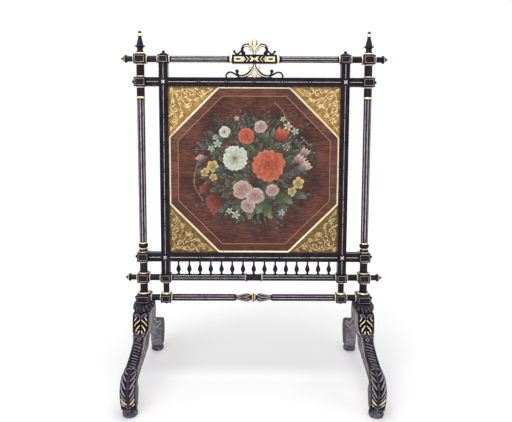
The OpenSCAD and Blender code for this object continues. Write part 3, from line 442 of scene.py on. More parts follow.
def makeRosetteTree():
    tree, given = newTree("rosette", [
        ("Copies", "Int", 4), ("Per Ring", "Int", 4), ("Ring Shrink", "Float", 0.0), ("Ring Lift", "Float", 0.0),
        ("Start Turn", "Float", 0.0), ("Ring Turn", "Float", 0.0), ("Jitter", "Float", 0.0), ("Seed", "Int", 1),
        ("Places", "Object", None), ("Material", "Material", None)])
    points = addNode(tree, "GeometryNodePoints", {"Count": given["Copies"]}).outputs[0]
    index = addNode(tree, "GeometryNodeInputIndex").outputs[0]
    share = addNode(tree, "ShaderNodeMath", {0: index, 1: given["Per Ring"]}, operation="DIVIDE").outputs[0]
    ring = addNode(tree, "ShaderNodeMath", {0: share}, operation="FLOOR").outputs[0]
    within = addNode(tree, "ShaderNodeMath", {0: share}, operation="FRACT").outputs[0]
    wobble = addNode(tree, "FunctionNodeRandomValue", {2: -1.0, 3: 1.0, "Seed": given["Seed"]}).outputs[1]
    wobble = addNode(tree, "ShaderNodeMath", {0: wobble, 1: given["Jitter"]}, operation="MULTIPLY").outputs[0]
    turn = addNode(tree, "ShaderNodeMath", {0: within, 1: math.tau, 2: given["Start Turn"]},
                   operation="MULTIPLY_ADD").outputs[0]
    turn = addNode(tree, "ShaderNodeMath", {0: ring, 1: given["Ring Turn"], 2: turn}, operation="MULTIPLY_ADD").outputs[0]
    turn = addNode(tree, "ShaderNodeMath", {0: turn, 1: wobble}).outputs[0]
    shrink = addNode(tree, "ShaderNodeMath", {0: ring, 1: given["Ring Shrink"]}, operation="MULTIPLY").outputs[0]
    scale = addNode(tree, "ShaderNodeMath", {0: 1.0, 1: shrink}, operation="SUBTRACT").outputs[0]
    scale = addNode(tree, "ShaderNodeMath", {0: wobble, 1: 0.5, 2: scale}, operation="MULTIPLY_ADD").outputs[0]
    lift = addNode(tree, "ShaderNodeMath", {0: ring, 1: given["Ring Lift"]}, operation="MULTIPLY").outputs[0]
    lift = addNode(tree, "ShaderNodeMath", {0: lift, 1: -1.0}, operation="MULTIPLY").outputs[0]
    placed = addNode(tree, "GeometryNodeSetPosition", {
        "Geometry": points, "Offset": addNode(tree, "ShaderNodeCombineXYZ", {"Y": lift}).outputs[0]}).outputs[0]
    petals = addNode(tree, "GeometryNodeInstanceOnPoints", {
        "Points": placed, "Instance": given["Geometry"],
        "Rotation": addNode(tree, "ShaderNodeCombineXYZ", {"Y": turn}).outputs[0], "Scale": scale}).outputs[0]
    tint = addNode(tree, "FunctionNodeRandomValue", {2: 0.0, 3: 0.6, "Seed": given["Seed"]}).outputs[1]
    tint = addNode(tree, "ShaderNodeMath", {0: ring, 1: 0.24, 2: tint}, operation="MULTIPLY_ADD").outputs[0]
    tinted = addNode(tree, "GeometryNodeStoreNamedAttribute", {
        "Geometry": petals, "Name": "tint", "Value": tint}, data_type="FLOAT", domain="INSTANCE").outputs[0]
    head = addNode(tree, "GeometryNodeRealizeInstances", {"Geometry": tinted}).outputs[0]
    places = addNode(tree, "GeometryNodeObjectInfo", {"Object": given["Places"]}).outputs["Geometry"]
    ownTurn = addNode(tree, "GeometryNodeInputNamedAttribute", {"Name": "turn"}, data_type="FLOAT").outputs[0]
    ownSize = addNode(tree, "GeometryNodeInputNamedAttribute", {"Name": "size"}, data_type="FLOAT").outputs[0]
    heads = addNode(tree, "GeometryNodeInstanceOnPoints", {
        "Points": places, "Instance": head,
        "Rotation": addNode(tree, "ShaderNodeCombineXYZ", {"Y": ownTurn}).outputs[0], "Scale": ownSize}).outputs[0]
    endTree(tree, heads, given["Material"])
    return tree


def makeLineTree():  # gilt or inlaid line that follows the piece's own edges
    tree, given = newTree("laidLine", [("Width", "Float", 0.002), ("Height", "Float", 0.001),
                                       ("Material", "Material", None)])
    curve = addNode(tree, "GeometryNodeMeshToCurve", {"Mesh": given["Geometry"]}).outputs[0]
    flat = addNode(tree, "GeometryNodeSetCurveNormal", {"Curve": curve, "Normal": (0, -1, 0)}, mode="FREE").outputs[0]
    across = addNode(tree, "ShaderNodeMath", {0: given["Width"], 1: 0.5}, operation="MULTIPLY").outputs[0]
    ring = addNode(tree, "GeometryNodeCurvePrimitiveCircle", {"Resolution": 8, "Radius": 1.0}).outputs[0]
    size = addNode(tree, "ShaderNodeCombineXYZ", {"X": given["Height"], "Y": across, "Z": 1.0}).outputs[0]
    profile = addNode(tree, "GeometryNodeTransform", {"Geometry": ring, "Scale": size}).outputs[0]
    line = addNode(tree, "GeometryNodeCurveToMesh", {"Curve": flat, "Profile Curve": profile, "Fill Caps": True}).outputs[0]
    endTree(tree, line, given["Material"])
    return tree


def makeSpindleTree():  # lathe along the piece's own line of radii, repeated in a row
    tree, given = newTree("spindleRow", [("Count", "Int", 15), ("Pitch", "Float", 0.033), ("Facets", "Int", 20),
                                         ("Material", "Material", None)])
    curve = addNode(tree, "GeometryNodeMeshToCurve", {"Mesh": given["Geometry"]}).outputs[0]
    radius = addNode(tree, "GeometryNodeInputNamedAttribute", {"Name": "radius"}, data_type="FLOAT").outputs[0]
    sized = addNode(tree, "GeometryNodeSetCurveRadius", {"Curve": curve, "Radius": radius}).outputs[0]
    ring = addNode(tree, "GeometryNodeCurvePrimitiveCircle", {"Resolution": given["Facets"], "Radius": 1.0}).outputs[0]
    turned = addNode(tree, "GeometryNodeCurveToMesh", {"Curve": sized, "Profile Curve": ring, "Fill Caps": True})
    if "Scale" in turned.inputs:
        tree.links.new(radius, turned.inputs["Scale"])
    last = addNode(tree, "ShaderNodeMath", {0: given["Count"], 1: 1.0}, operation="SUBTRACT").outputs[0]
    span = addNode(tree, "ShaderNodeMath", {0: last, 1: given["Pitch"]}, operation="MULTIPLY").outputs[0]
    start = addNode(tree, "ShaderNodeMath", {0: span, 1: -0.5}, operation="MULTIPLY").outputs[0]
    row = addNode(tree, "GeometryNodeMeshLine", {
        "Count": given["Count"], "Start Location": addNode(tree, "ShaderNodeCombineXYZ", {"X": start}).outputs[0],
        "Offset": addNode(tree, "ShaderNodeCombineXYZ", {"X": given["Pitch"]}).outputs[0]}).outputs[0]
    many = addNode(tree, "GeometryNodeInstanceOnPoints", {"Points": row, "Instance": turned.outputs[0]}).outputs[0]
    endTree(tree, many, given["Material"])
    return tree


rosetteTree = makeRosetteTree()
lineTree = makeLineTree()
spindleTree = makeSpindleTree()


def edgesPiece(name, chains, closed=False):  # a piece that holds only the edges that a tree follows
    mesh = bpy.data.meshes.new(name)
    verts, edges = [], []
    for chain in chains:
        start = len(verts)
        verts += [tuple(p) for p in chain]
        edges += [(start + i, start + i + 1) for i in range(len(chain) - 1)]
        if closed:
            edges.append((start + len(chain) - 1, start))
    mesh.from_pydata(verts, edges, [])
    return newPiece(name, mesh)


squareLook = {"inset": 4.2 * mm, "width": 1.15 * mm, "height": 0.35 * mm}


def squareOn(x, y, z, wide, high):
    w, h = wide / 2 - squareLook["inset"], high / 2 - squareLook["inset"]
    return [(x - w, y, z - h), (x + w, y, z - h), (x + w, y, z + h), (x - w, y, z + h)]


squares = []
baseHigh = high("base_block_right").z - low("base_block_right").z - 20 * mm
for face in (front, rear):
    for side in (left, right):
        for z in (galleryZ, lowerZ, upperZ, topZ):
            squares.append(squareOn(side * postX, face * blocks["post"] / 2, z, blocks["post"], blocks["postHigh"]))
        for z in (stretcherZ, galleryZ, topZ):
            squares.append(squareOn(side * stileX, face * blocks["stile"] / 2, z, blocks["stile"], blocks["stileHigh"]))
        squares.append(squareOn(side * postX, face * 28 * mm, stretcherZ, 42 * mm, baseHigh))
piece = edgesPiece("giltSquares", squares, closed=True)
grow(piece, lineTree, {"Width": squareLook["width"], "Height": squareLook["height"], "Material": dullGilt})
hold(piece, "gilt")

beadLook = {"pitch": 82.5 * mm, "gap": 11 * mm, "width": 1.5 * mm, "height": 0.4 * mm, "star": 4.6 * mm}
beadY = frameFace - 0.05 * mm
bars, stars = [], []


def beading(start, end, along, at):  # gilt line on a bead, broken by a small star at each pitch
    marks = [k * beadLook["pitch"] for k in range(-4, 5)] if along == "x" else \
        [panelMid + k * beadLook["pitch"] for k in range(-3, 4)]
    cuts = sorted(m for m in marks if start + 12 * mm < m < end - 12 * mm)
    edges = [start] + [m + s * beadLook["gap"] / 2 for m in cuts for s in (-1, 1)] + [end]
    for a, b in zip(edges[::2], edges[1::2]):
        bars.append([(a, beadY, at), (b, beadY, at)] if along == "x" else [(at, beadY, a), (at, beadY, b)])
    for m in cuts:
        stars.append((m, beadY, at, 45, 1) if along == "x" else (at, beadY, m, 45, 1))


for z in (upperZ, lowerZ):
    beading(-stileX + 14.5 * mm, stileX - 14.5 * mm, "x", z)
    for side in (left, right):
        near, far = side * (stileX + 14 * mm), side * (postX - 19 * mm)
        bars.append([(near, beadY, z), (far, beadY, z)])
for side in (left, right):
    beading(lowerZ + 10 * mm, upperZ - 10 * mm, "z", side * stileX)
    bars.append([(side * stileX, beadY, galleryZ + 14 * mm), (side * stileX, beadY, lowerZ - 10 * mm)])
    bars.append([(side * stileX, beadY, upperZ + 10 * mm), (side * stileX, beadY, topZ - 14 * mm)])
piece = edgesPiece("giltBeading", bars)
grow(piece, lineTree, {"Width": beadLook["width"], "Height": beadLook["height"], "Material": dullGilt})
hold(piece, "gilt")

starMesh = meshFrom("beadStars", lens(beadLook["star"] / 2, 1.7 * mm, 0.7 * mm, 5, 3), [])
piece = newPiece("beadStars", starMesh)
holder = placesAt("beadStarPlaces", stars)
grow(piece, rosetteTree, {"Copies": 4, "Per Ring": 4, "Places": holder, "Material": dullGilt})
hold(piece, "gilt")

bossLook = {"petal": 7.2 * mm, "width": 4.6 * mm, "rise": 1.5 * mm}
bossFace = low("stile_right").y
crossings = [(sx * stileX, bossFace, z, 45, 1) for sx in (left, right) for z in (upperZ, lowerZ)]
piece = newPiece("crossRosettes", meshFrom("crossRosettes", lens(bossLook["petal"], bossLook["width"], bossLook["rise"],
                                                                 7, 5, 0.8, 0.5), []))
holder = placesAt("crossPlaces", crossings)
grow(piece, rosetteTree, {"Copies": 4, "Per Ring": 4, "Places": holder, "Material": dullGilt})
hold(piece, "gilt")

spindleLook = {"bulb": 7.3 * mm, "neck": 2.7 * mm, "foot": 4.3 * mm, "bulbHeight": 15 * mm}


def spindleOutline():
    base = galleryZ + 10 * mm
    top = low("lower_panel_rail").z + 0.5 * mm
    bulb = base + spindleLook["bulbHeight"]
    neck, foot, belly = spindleLook["neck"], spindleLook["foot"], spindleLook["bulb"]
    rows = [(foot, base), (foot, base + 2 * mm), (neck * 1.05, base + 4.2 * mm), (neck * 1.2, base + 6 * mm)]
    for i in range(9):  # the bulb: quick below its widest place, long above it
        t = i / 8
        rows.append((neck + (belly - neck) * math.sin(math.pi / 2 * (0.25 + 0.75 * t)) ** 1.6, base + (7 + 8 * t) * mm))
    for i in range(1, 11):
        t = i / 10
        rows.append((neck + (belly - neck) * ((1 + math.cos(math.pi * t)) / 2) ** 0.8, bulb + 17 * mm * t))
    return rows + [(neck, top - 4 * mm), (foot * 0.9, top - 2.5 * mm), (foot, top - 1 * mm), (foot, top)]


rows = spindleOutline()
piece = edgesPiece("spindles", [[(0, 0, z) for r, z in rows]])
layer = piece.data.attributes.new("radius", "FLOAT", "POINT")
layer.data.foreach_set("value", [r for r, z in rows])
spindleNodes = sorted(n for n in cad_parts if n.startswith("spindle_"))
pitch = (middle(spindleNodes[-1]).x - middle(spindleNodes[0]).x) / (len(spindleNodes) - 1)
grow(piece, spindleTree, {"Count": len(spindleNodes), "Pitch": pitch, "Facets": 20, "Material": ebonised}, 50)
hold(piece, "parcel_gilt", *spindleNodes)
print("lines, rosettes and spindles grown")


# ---- legs, cushions and base blocks

def ebonyWithPaintedLight():  # ebonised carving coloured by its relief attribute: painted highlight on raised faces and on faces turned to the light, painted shade in the hollows, over random rubbed patches
    material, tree, shader = newMaterial("ebonisedCarvingPaintedLight")
    high = addNode(tree, "ShaderNodeAttribute", attribute_name="relief").outputs["Fac"]
    patches = patternFrom(tree, 9 * mm, detail=5.0)
    # relief lifts the colour towards grey: this is the carving's painted light and shade
    mixed = addNode(tree, "ShaderNodeMath", {0: patches, 1: 0.5, 2: high}, operation="MULTIPLY_ADD").outputs[0]
    colour = ramp(tree, mixed, [(0.25, "#070609"), (0.55, "#1a161d"), (0.78, "#3b3542"), (1.0, "#9d95a3")])
    tree.links.new(colour, shader.inputs["Base Color"])
    tree.links.new(ramp(tree, patches, [(0.3, 0.42), (0.7, 0.62)]), shader.inputs["Roughness"])
    grain = patternFrom(tree, 1.5 * mm, (1, 1, 0.3), 3.0)
    tree.links.new(bump(tree, grain, 0.15 * mm), shader.inputs["Normal"])
    shader.inputs["Specular IOR Level"].default_value = 0.12
    return material


carvedEbonyPaintedLight = ebonyWithPaintedLight()


# stores the relief attribute, which paints the carving's light and shade
def markPaintedLight(mesh, values):
    layer = mesh.attributes.new("relief", "FLOAT", "POINT")
    layer.data.foreach_set("value", values)


legLook = {"knee": 48, "shank": 33, "foot": 41, "rim": 0.8, "field": 1.5, "across": 17, "stations": 150}
legOuter = [(23, 100), (26.5, 97), (28.5, 89), (28.5, 82.6), (30.7, 77.3), (35.8, 72), (44.3, 65.7), (54.7, 59.2),
            (69.3, 53.6), (84, 49.8), (96.7, 46.9), (104.7, 43.5), (111.3, 37.2), (114.6, 29.5), (114.2, 19.8),
            (111.3, 10.1), (106.6, 0)]
legArch = [(0, 70), (11.3, 68.6), (20.8, 63.8), (27.8, 56), (33.5, 47.3), (40.6, 41.5), (50, 39.1), (67, 36.2),
           (77.8, 33.8), (86.8, 31.4), (89.6, 28)]
legScroll = [(89.6, 28), (85.4, 24.2), (83.5, 18.8), (83.7, 12.6), (86.3, 5.8), (90.6, 0)]
legPlan = [(0, "knee", 1), (28.3, "knee", 1), (36, "shank", 1.12), (45, "shank", 1), (85, "shank", 1),
           (95, "shank", 1.12), (105, "foot", 1), (125, "foot", 1)]


def legPoint(p):  # hundredths of the foot's distance and of the leg's height, to metres in front and above
    return (p[0] * footReach / 100, padTop + p[1] * (legTop - padTop) / 100)


def halfWidth(b):
    place = 100 * b / footReach
    for (a, nameA, kA), (c, nameC, kC) in zip(legPlan, legPlan[1:]):
        if place <= c:
            t = max(0.0, min(1.0, (place - a) / (c - a)))
            t = t * t * (3 - 2 * t)
            return (legLook[nameA] * kA * (1 - t) + legLook[nameC] * kC * t) / 2 * mm
    return legLook["foot"] / 2 * mm


def spread(points, count):  # the same line with evenly spaced points
    lengths = [0.0]
    for a, b in zip(points, points[1:]):
        lengths.append(lengths[-1] + math.dist(a, b))
    out = []
    i = 0
    for k in range(count):
        want = lengths[-1] * k / (count - 1)
        while i < len(points) - 2 and lengths[i + 1] < want:
            i += 1
        gap = lengths[i + 1] - lengths[i] or 1.0
        t = (want - lengths[i]) / gap
        out.append(tuple(p + (q - p) * t for p, q in zip(points[i], points[i + 1])))
    return out


def legLines():  # outer and inner line of a leg's side view, with as many points each
    outer = [legPoint(p) for p in smooth(legOuter, 8)]
    arch = [legPoint(p) for p in smooth(legArch, 8)]
    scroll = [legPoint(p) for p in smooth(legScroll, 8)]
    wall = [legPoint((0, 100)), legPoint((0, 70))]
    cutOuter = [0, 4 * 8, 8 * 8, 13 * 8, 16 * 8]
    cutInner = [wall, arch[:4 * 8 + 1], arch[4 * 8:], scroll]
    stations = [28, 34, 58, 30]
    lineOut, lineIn = [], []
    for k, count in enumerate(stations):
        lineOut += spread(outer[cutOuter[k]:cutOuter[k + 1] + 1], count + 1)[:-1]
        lineIn += spread(cutInner[k], count + 1)[:-1]
    return lineOut + [outer[-1]], lineIn + [scroll[-1]]


legOut, legIn = legLines()
legRun = [0.0]
for a, b in zip(legOut, legOut[1:]):
    legRun.append(legRun[-1] + math.dist(a, b))
kneeEnd, footStart = 70 * mm, 190 * mm


def step(x, a, b):
    t = max(0.0, min(1.0, (x - a) / (b - a)))
    return t * t * (3 - 2 * t)


def fieldDepth(s, t):  # how deep the carved field lies below the leg's outline, in mm
    a = abs(t)
    kneeField = step(s, 3 * mm, 7 * mm) * (1 - step(s, kneeEnd - 9 * mm, kneeEnd - 3 * mm)) * (1 - step(a, 0.84, 0.92))
    shaftField = step(s, kneeEnd + 2 * mm, kneeEnd + 6 * mm) * (1 - step(s, footStart - 5 * mm, footStart))
    shaftField *= 1 - step(a, 0.7, 0.8)
    footField = step(s, footStart + 2 * mm, footStart + 10 * mm) * (1 - step(s, legRun[-1] - 12 * mm, legRun[-1]))
    rib = 1 - step(a, 0.1, 0.22)
    waves = 0.5 + 0.5 * math.cos(math.tau * (s / mm - 17 * a) / 16)
    grooves = step(a, 0.7, 0.76) * (1 - step(a, 0.8, 0.84)) * 0.7
    return (2.2 * kneeField + legLook["field"] * shaftField
            + footField * ((1 - rib) * (0.9 + 1.5 * waves) - 0.2 * rib) * (1 - 0.5 * step(a, 0.75, 1))
            + grooves * step(s, kneeEnd, kneeEnd + 4 * mm) * (1 - step(s, footStart - 4 * mm, footStart)))


def paleShank(s):  # the flat top of the shank is drawn paler than the rest
    return step(s, kneeEnd, kneeEnd + 5 * mm) * (1 - step(s, kneeEnd + 20 * mm, kneeEnd + 70 * mm))


def legFrame(s):  # place on the outer line, its downward direction and its outward normal
    i = max(j for j in range(len(legRun) - 1) if legRun[j] <= s or j == 0)
    t = min(1.0, (s - legRun[i]) / (legRun[i + 1] - legRun[i]))
    a, b = legOut[i], legOut[i + 1]
    down = Vector((b[0] - a[0], b[1] - a[1])).normalized()
    return (a[0] + (b[0] - a[0]) * t, a[1] + (b[1] - a[1]) * t), down, Vector((-down.y, down.x))


def legShape(side, way):
    shape = newShape()
    relief = []
    across = legLook["across"]
    sideSteps = 5
    rows = len(legOut)
    for i in range(rows):
        place, down, out = legFrame(min(legRun[i], legRun[-1] - 1e-6))
        inner = legIn[i]
        ring = []
        for k in range(across):
            t = 2 * k / (across - 1) - 1
            depth = fieldDepth(legRun[i], t)
            b, z = place[0] - out.x * depth * mm, place[1] - out.y * depth * mm
            ring.append((t * halfWidth(place[0]), b, z))
            # the relief colour is painted shade, darker where the carved field lies deeper, with the shank's top drawn
            # paler
            relief.append(0.5 - 0.2 * depth + 0.16 * paleShank(legRun[i]))
        edgeR = [place[0] + (inner[0] - place[0]) * k / sideSteps for k in range(1, sideSteps)]
        edgeZ = [place[1] + (inner[1] - place[1]) * k / sideSteps for k in range(1, sideSteps)]
        ring += [(halfWidth(b), b, z) for b, z in zip(edgeR, edgeZ)]
        # the leg's side faces are painted mid grey, and the inner face of the arch lighter still, a painted light on
        # that face
        relief += [0.54] * (sideSteps - 1)
        ring += [(halfWidth(inner[0]) * (1 - 2 * k / 4), inner[0], inner[1]) for k in range(5)]
        relief += [0.69] * 5
        ring += [(-halfWidth(b), b, z) for b, z in zip(edgeR[::-1], edgeZ[::-1])]
        relief += [0.54] * (sideSteps - 1)
        shape["verts"] += [(side * postX + x, way * b, z) for x, b, z in ring]
    columns = across + 2 * (sideSteps - 1) + 5
    shape["faces"] = gridFaces(rows, columns, wrapColumns=True)
    shape["faces"] += [list(range(columns))[::-1], [(rows - 1) * columns + c for c in range(columns)]]
    shape["slots"] = [0] * len(shape["faces"])
    return shape, relief


def legMesh(name, side, way):
    shape, relief = legShape(side, way)
    mesh = bpy.data.meshes.new(name)
    mesh.from_pydata(shape["verts"], [], shape["faces"])
    mesh.materials.append(carvedEbonyPaintedLight)
    markPaintedLight(mesh, relief)
    bm = bmesh.new()
    bm.from_mesh(mesh)
    bmesh.ops.remove_doubles(bm, verts=bm.verts, dist=1e-6)
    bmesh.ops.recalc_face_normals(bm, faces=bm.faces)
    bm.to_mesh(mesh)
    bm.free()
    softShade(mesh, 42)
    return mesh


def makeStrokeTree():  # carved strokes that follow the piece's edges, as thick at each point as it says
    tree, given = newTree("carvedStroke", [("Crest", "Float", 0.75), ("Material", "Material", None)])
    thick = addNode(tree, "GeometryNodeInputNamedAttribute", {"Name": "thick"}, data_type="FLOAT").outputs[0]
    curve = addNode(tree, "GeometryNodeMeshToCurve", {"Mesh": given["Geometry"]}).outputs[0]
    ring = addNode(tree, "GeometryNodeCurvePrimitiveCircle", {"Resolution": 10, "Radius": 1.0}).outputs[0]
    stroke = addNode(tree, "GeometryNodeCurveToMesh", {"Curve": curve, "Profile Curve": ring, "Scale": thick,
                                                        "Fill Caps": True}).outputs[0]
    facing = addNode(tree, "GeometryNodeInputNamedAttribute", {"Name": "facing"}, data_type="FLOAT_VECTOR").outputs[0]
    outward = addNode(tree, "ShaderNodeVectorMath", {0: addNode(tree, "GeometryNodeInputNormal").outputs[0], 1: facing},
                      operation="DOT_PRODUCT").outputs["Value"]
    # relief on the strokes is painted light: a painted highlight where a stroke faces out from the leg, painted shade
    # on its sides
    relief = addNode(tree, "ShaderNodeMath", {0: outward, 1: given["Crest"], 2: 0.14}, operation="MULTIPLY_ADD").outputs[0]
    marked = addNode(tree, "GeometryNodeStoreNamedAttribute", {"Geometry": stroke, "Name": "relief", "Value": relief},
                     data_type="FLOAT", domain="POINT").outputs[0]
    endTree(tree, marked, given["Material"])
    return tree


strokeTree = makeStrokeTree()
strokes = {"kneeStrokes": [], "kneeScrolls": [], "legRoundels": [], "shankRope": [], "footLeaves": [], "giltFootLeaves": []}


def onLeg(side, way, s, t, lift):  # point on a leg's carved face, and the way it faces
    place, down, out = legFrame(s)
    point = (side * postX + t * halfWidth(place[0]), way * (place[0] + out.x * lift), place[1] + out.y * lift)
    return point, (0, way * out.x, out.y)


def addStroke(kind, side, way, points, thin, fat, lift=0.0):  # points as (along the leg in mm, across -1 to 1)
    line = smooth(points, 5)
    count = len(line) - 1
    out = []
    for k, (s, t) in enumerate(line):
        swell = math.sin(math.pi * min(1, max(0, 0.08 + 0.84 * (k / count) ** 1.2)))
        point, facing = onLeg(side, way, s * mm, t, lift * mm)
        out.append((point, facing, (thin + (fat - thin) * swell) * mm))
    strokes[kind].append(out)


def carveStrokes(name, material, slot, crest):
    mesh = bpy.data.meshes.new(name)
    verts, edges, facings, thicks = [], [], [], []
    for line in strokes[name]:
        start = len(verts)
        verts += [p for p, f, r in line]
        facings += [value for p, f, r in line for value in f]
        thicks += [r for p, f, r in line]
        edges += [(start + k, start + k + 1) for k in range(len(line) - 1)]
    mesh.from_pydata(verts, edges, [])
    mesh.attributes.new("facing", "FLOAT_VECTOR", "POINT").data.foreach_set("vector", facings)
    mesh.attributes.new("thick", "FLOAT", "POINT").data.foreach_set("value", thicks)
    piece = newPiece(name, mesh)
    grow(piece, strokeTree, {"Crest": crest, "Material": material}, 50)
    return hold(piece, slot)


for side in (left, right):
    for way in (front, rear):
        sink = -legLook["field"]
        for t in (left, right):
            addStroke("kneeStrokes", side, way, [(21, 0.1 * t), (27, 0.3 * t), (33, 0.58 * t), (41, 0.76 * t)], 0.9, 2.0, -1.6)
            addStroke("kneeStrokes", side, way, [(38, 0.1 * t), (44, 0.3 * t), (50, 0.52 * t), (56, 0.62 * t)], 0.9, 1.9, -1.6)
            addStroke("kneeStrokes", side, way, [(54, 0.14 * t), (59, 0.26 * t), (64, 0.34 * t)], 0.8, 1.7, -1.6)
            addStroke("kneeStrokes", side, way, [(15, 0.5 * t), (20, 0.68 * t), (25, 0.78 * t)], 0.8, 1.6, -1.4)
            addStroke("kneeScrolls", side, way, [(18, 0.12 * t), (11, 0.16 * t), (5, 0.36 * t), (5, 0.6 * t), (10, 0.7 * t),
                                                 (13, 0.5 * t), (10, 0.4 * t)], 0.9, 2.4, -1.2)
            addStroke("kneeScrolls", side, way, [(66, 0.02 * t), (68, 0.3 * t), (65, 0.55 * t), (60, 0.8 * t)], 0.9, 1.5, -1.5)
            addStroke("legRoundels", side, way, [(kneeEnd / mm + 4, 0.5 * t), (kneeEnd / mm + 5.5, 0.6 * t)], 1.6, 2.2, sink)
        centre = kneeEnd / mm + 12
        addStroke("legRoundels", side, way, [(centre + 4.6 * math.cos(a), 0.28 * math.sin(a)) for a in
                                             (k * math.tau / 12 for k in range(13))], 1.5, 1.5, sink + 0.2)
        for k in range(9):
            s = kneeEnd / mm + 22 + 11 * k
            addStroke("shankRope", side, way, [(s, -0.68), (s + 3, -0.3), (s + 6, 0.2), (s + 10, 0.68)], 1.9, 3.7, sink - 0.6)
        for t in (left, right):
            for s, long, wide in ((198, 20, 2.2), (211, 27, 2.6), (227, 32, 3.0), (246, 34, 3.2), (266, 27, 2.8)):
                addStroke("footLeaves", side, way, [(s, 0.86 * t), (s + long * 0.35, 0.78 * t), (s + long * 0.7, 0.5 * t),
                                                    (s + long, 0.24 * t)], 0.8, wide, -1.6)
            addStroke("giltFootLeaves", side, way, [(284, 0.86 * t), (291, 0.76 * t), (300, 0.46 * t), (307, 0.2 * t)], 0.8, 2.4, -0.9)
            addStroke("giltFootLeaves", side, way, [(301, 0.84 * t), (307, 0.72 * t), (313, 0.5 * t)], 0.8, 1.7, -0.7)
            addStroke("footLeaves", side, way, [(189, 0.1 * t), (194, 0.4 * t), (197, 0.74 * t)], 0.8, 1.5, -0.9)
            addStroke("footLeaves", side, way, [(312, 0.34 * t), (317, 0.22 * t), (322, 0.08 * t)], 0.8, 1.8, -0.6)
    for end, way in (("front", front), ("rear", rear)):
        word = "Left" if side == left else "Right"
        name = f"leg{end.capitalize()}{word}"
        hold(newPiece(name, legMesh(name, side, way)), "parcel_gilt", f"leg_{end}_{word.lower()}")
        pad = dressed(f"foot_{end}_{word.lower()}", f"foot{end.capitalize()}{word}", lambda c, n: 0, [carvedEbonyPaintedLight], "ebonised")
        # the pads take one lighter relief value all over: a painted highlight
        markPaintedLight(pad.data, [0.59] * len(pad.data.vertices))
# the last number in each row sets how strong the painted highlight on those strokes is
for name, material, slot, crest in (
        ("kneeStrokes", gilt, "gilt", 0.8), ("giltFootLeaves", gilt, "gilt", 0.8), ("kneeScrolls", carvedEbonyPaintedLight, "ebonised", 0.68),
        ("legRoundels", carvedEbonyPaintedLight, "ebonised", 0.64), ("shankRope", carvedEbonyPaintedLight, "ebonised", 0.52),
        ("footLeaves", carvedEbonyPaintedLight, "ebonised", 0.72)):
    carveStrokes(name, material, slot, crest)

sideCurves = [[(9, 98), (9, 84), (14, 76), (24, 71), (33, 63), (40, 54), (48, 48), (60, 45.5), (76, 43), (90, 40)],
              [(18, 98), (18, 88), (22, 80), (30, 75), (38, 68), (46, 60), (58, 53.5), (72, 49), (88, 45)]]
sideLines = []
for side in (left, right):
    for way in (front, rear):
        for face in (left, right):
            for curve in sideCurves:
                points = [legPoint(p) for p in smooth(curve, 6)]
                sideLines.append([(side * postX + face * halfWidth(b), way * b, z) for b, z in points])


def makeSideLineTree():  # thin raised line that follows edges in any plane
    tree, given = newTree("raisedLine", [("Radius", "Float", 0.0007), ("Material", "Material", None)])
    curve = addNode(tree, "GeometryNodeMeshToCurve", {"Mesh": given["Geometry"]}).outputs[0]
    ring = addNode(tree, "GeometryNodeCurvePrimitiveCircle", {"Resolution": 6, "Radius": given["Radius"]}).outputs[0]
    line = addNode(tree, "GeometryNodeCurveToMesh", {"Curve": curve, "Profile Curve": ring, "Fill Caps": True}).outputs[0]
    endTree(tree, line, given["Material"])
    return tree


raisedTree = makeSideLineTree()
piece = edgesPiece("legSideLines", sideLines)
grow(piece, raisedTree, {"Radius": 1.1 * mm, "Material": dullGilt}, 60)
hold(piece, "gilt")

def profileOf(node, start, end, z):  # radius of a turned rail at each place where its solid has corners
    widest = {}
    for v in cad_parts[node].data.vertices:
        if start < v.co.x < end:
            place = round(v.co.x, 4)
            widest[place] = max(widest.get(place, 0), math.hypot(v.co.y, v.co.z - z))
    return sorted(widest.items())


def radiusAt(profile, x):
    for (a, p), (b, q) in zip(profile, profile[1:]):
        if x <= b:
            return p + (q - p) * (x - a) / (b - a)
    return profile[-1][1]


lotusLook = {"start": 11.5, "long": 42, "leaves": 8, "open": 0.33}
lotus = profileOf("stretcher", 10.2 * mm, 57.5 * mm, stretcherZ)
lines = []
for side in (left, right):
    for k in range(lotusLook["leaves"]):
        for bend in (left, right):
            line = []
            for i in range(15):
                x = (lotusLook["start"] + lotusLook["long"] * i / 14) * mm
                a = k * math.tau / lotusLook["leaves"] + bend * lotusLook["open"] * math.sin(math.pi * i / 14)
                r = radiusAt(lotus, x) + 0.15 * mm
                line.append((side * x, -r * math.cos(a), stretcherZ + r * math.sin(a)))
            lines.append(line)
piece = edgesPiece("lotusLeaves", lines)
grow(piece, raisedTree, {"Radius": 0.5 * mm, "Material": dullGilt}, 60)
hold(piece, "gilt")

cushionLook = {"wide": 66 * mm, "deep": 124 * mm, "high": 20 * mm, "leaves": 18, "depth": 2.2 * mm, "swirl": 0.6}


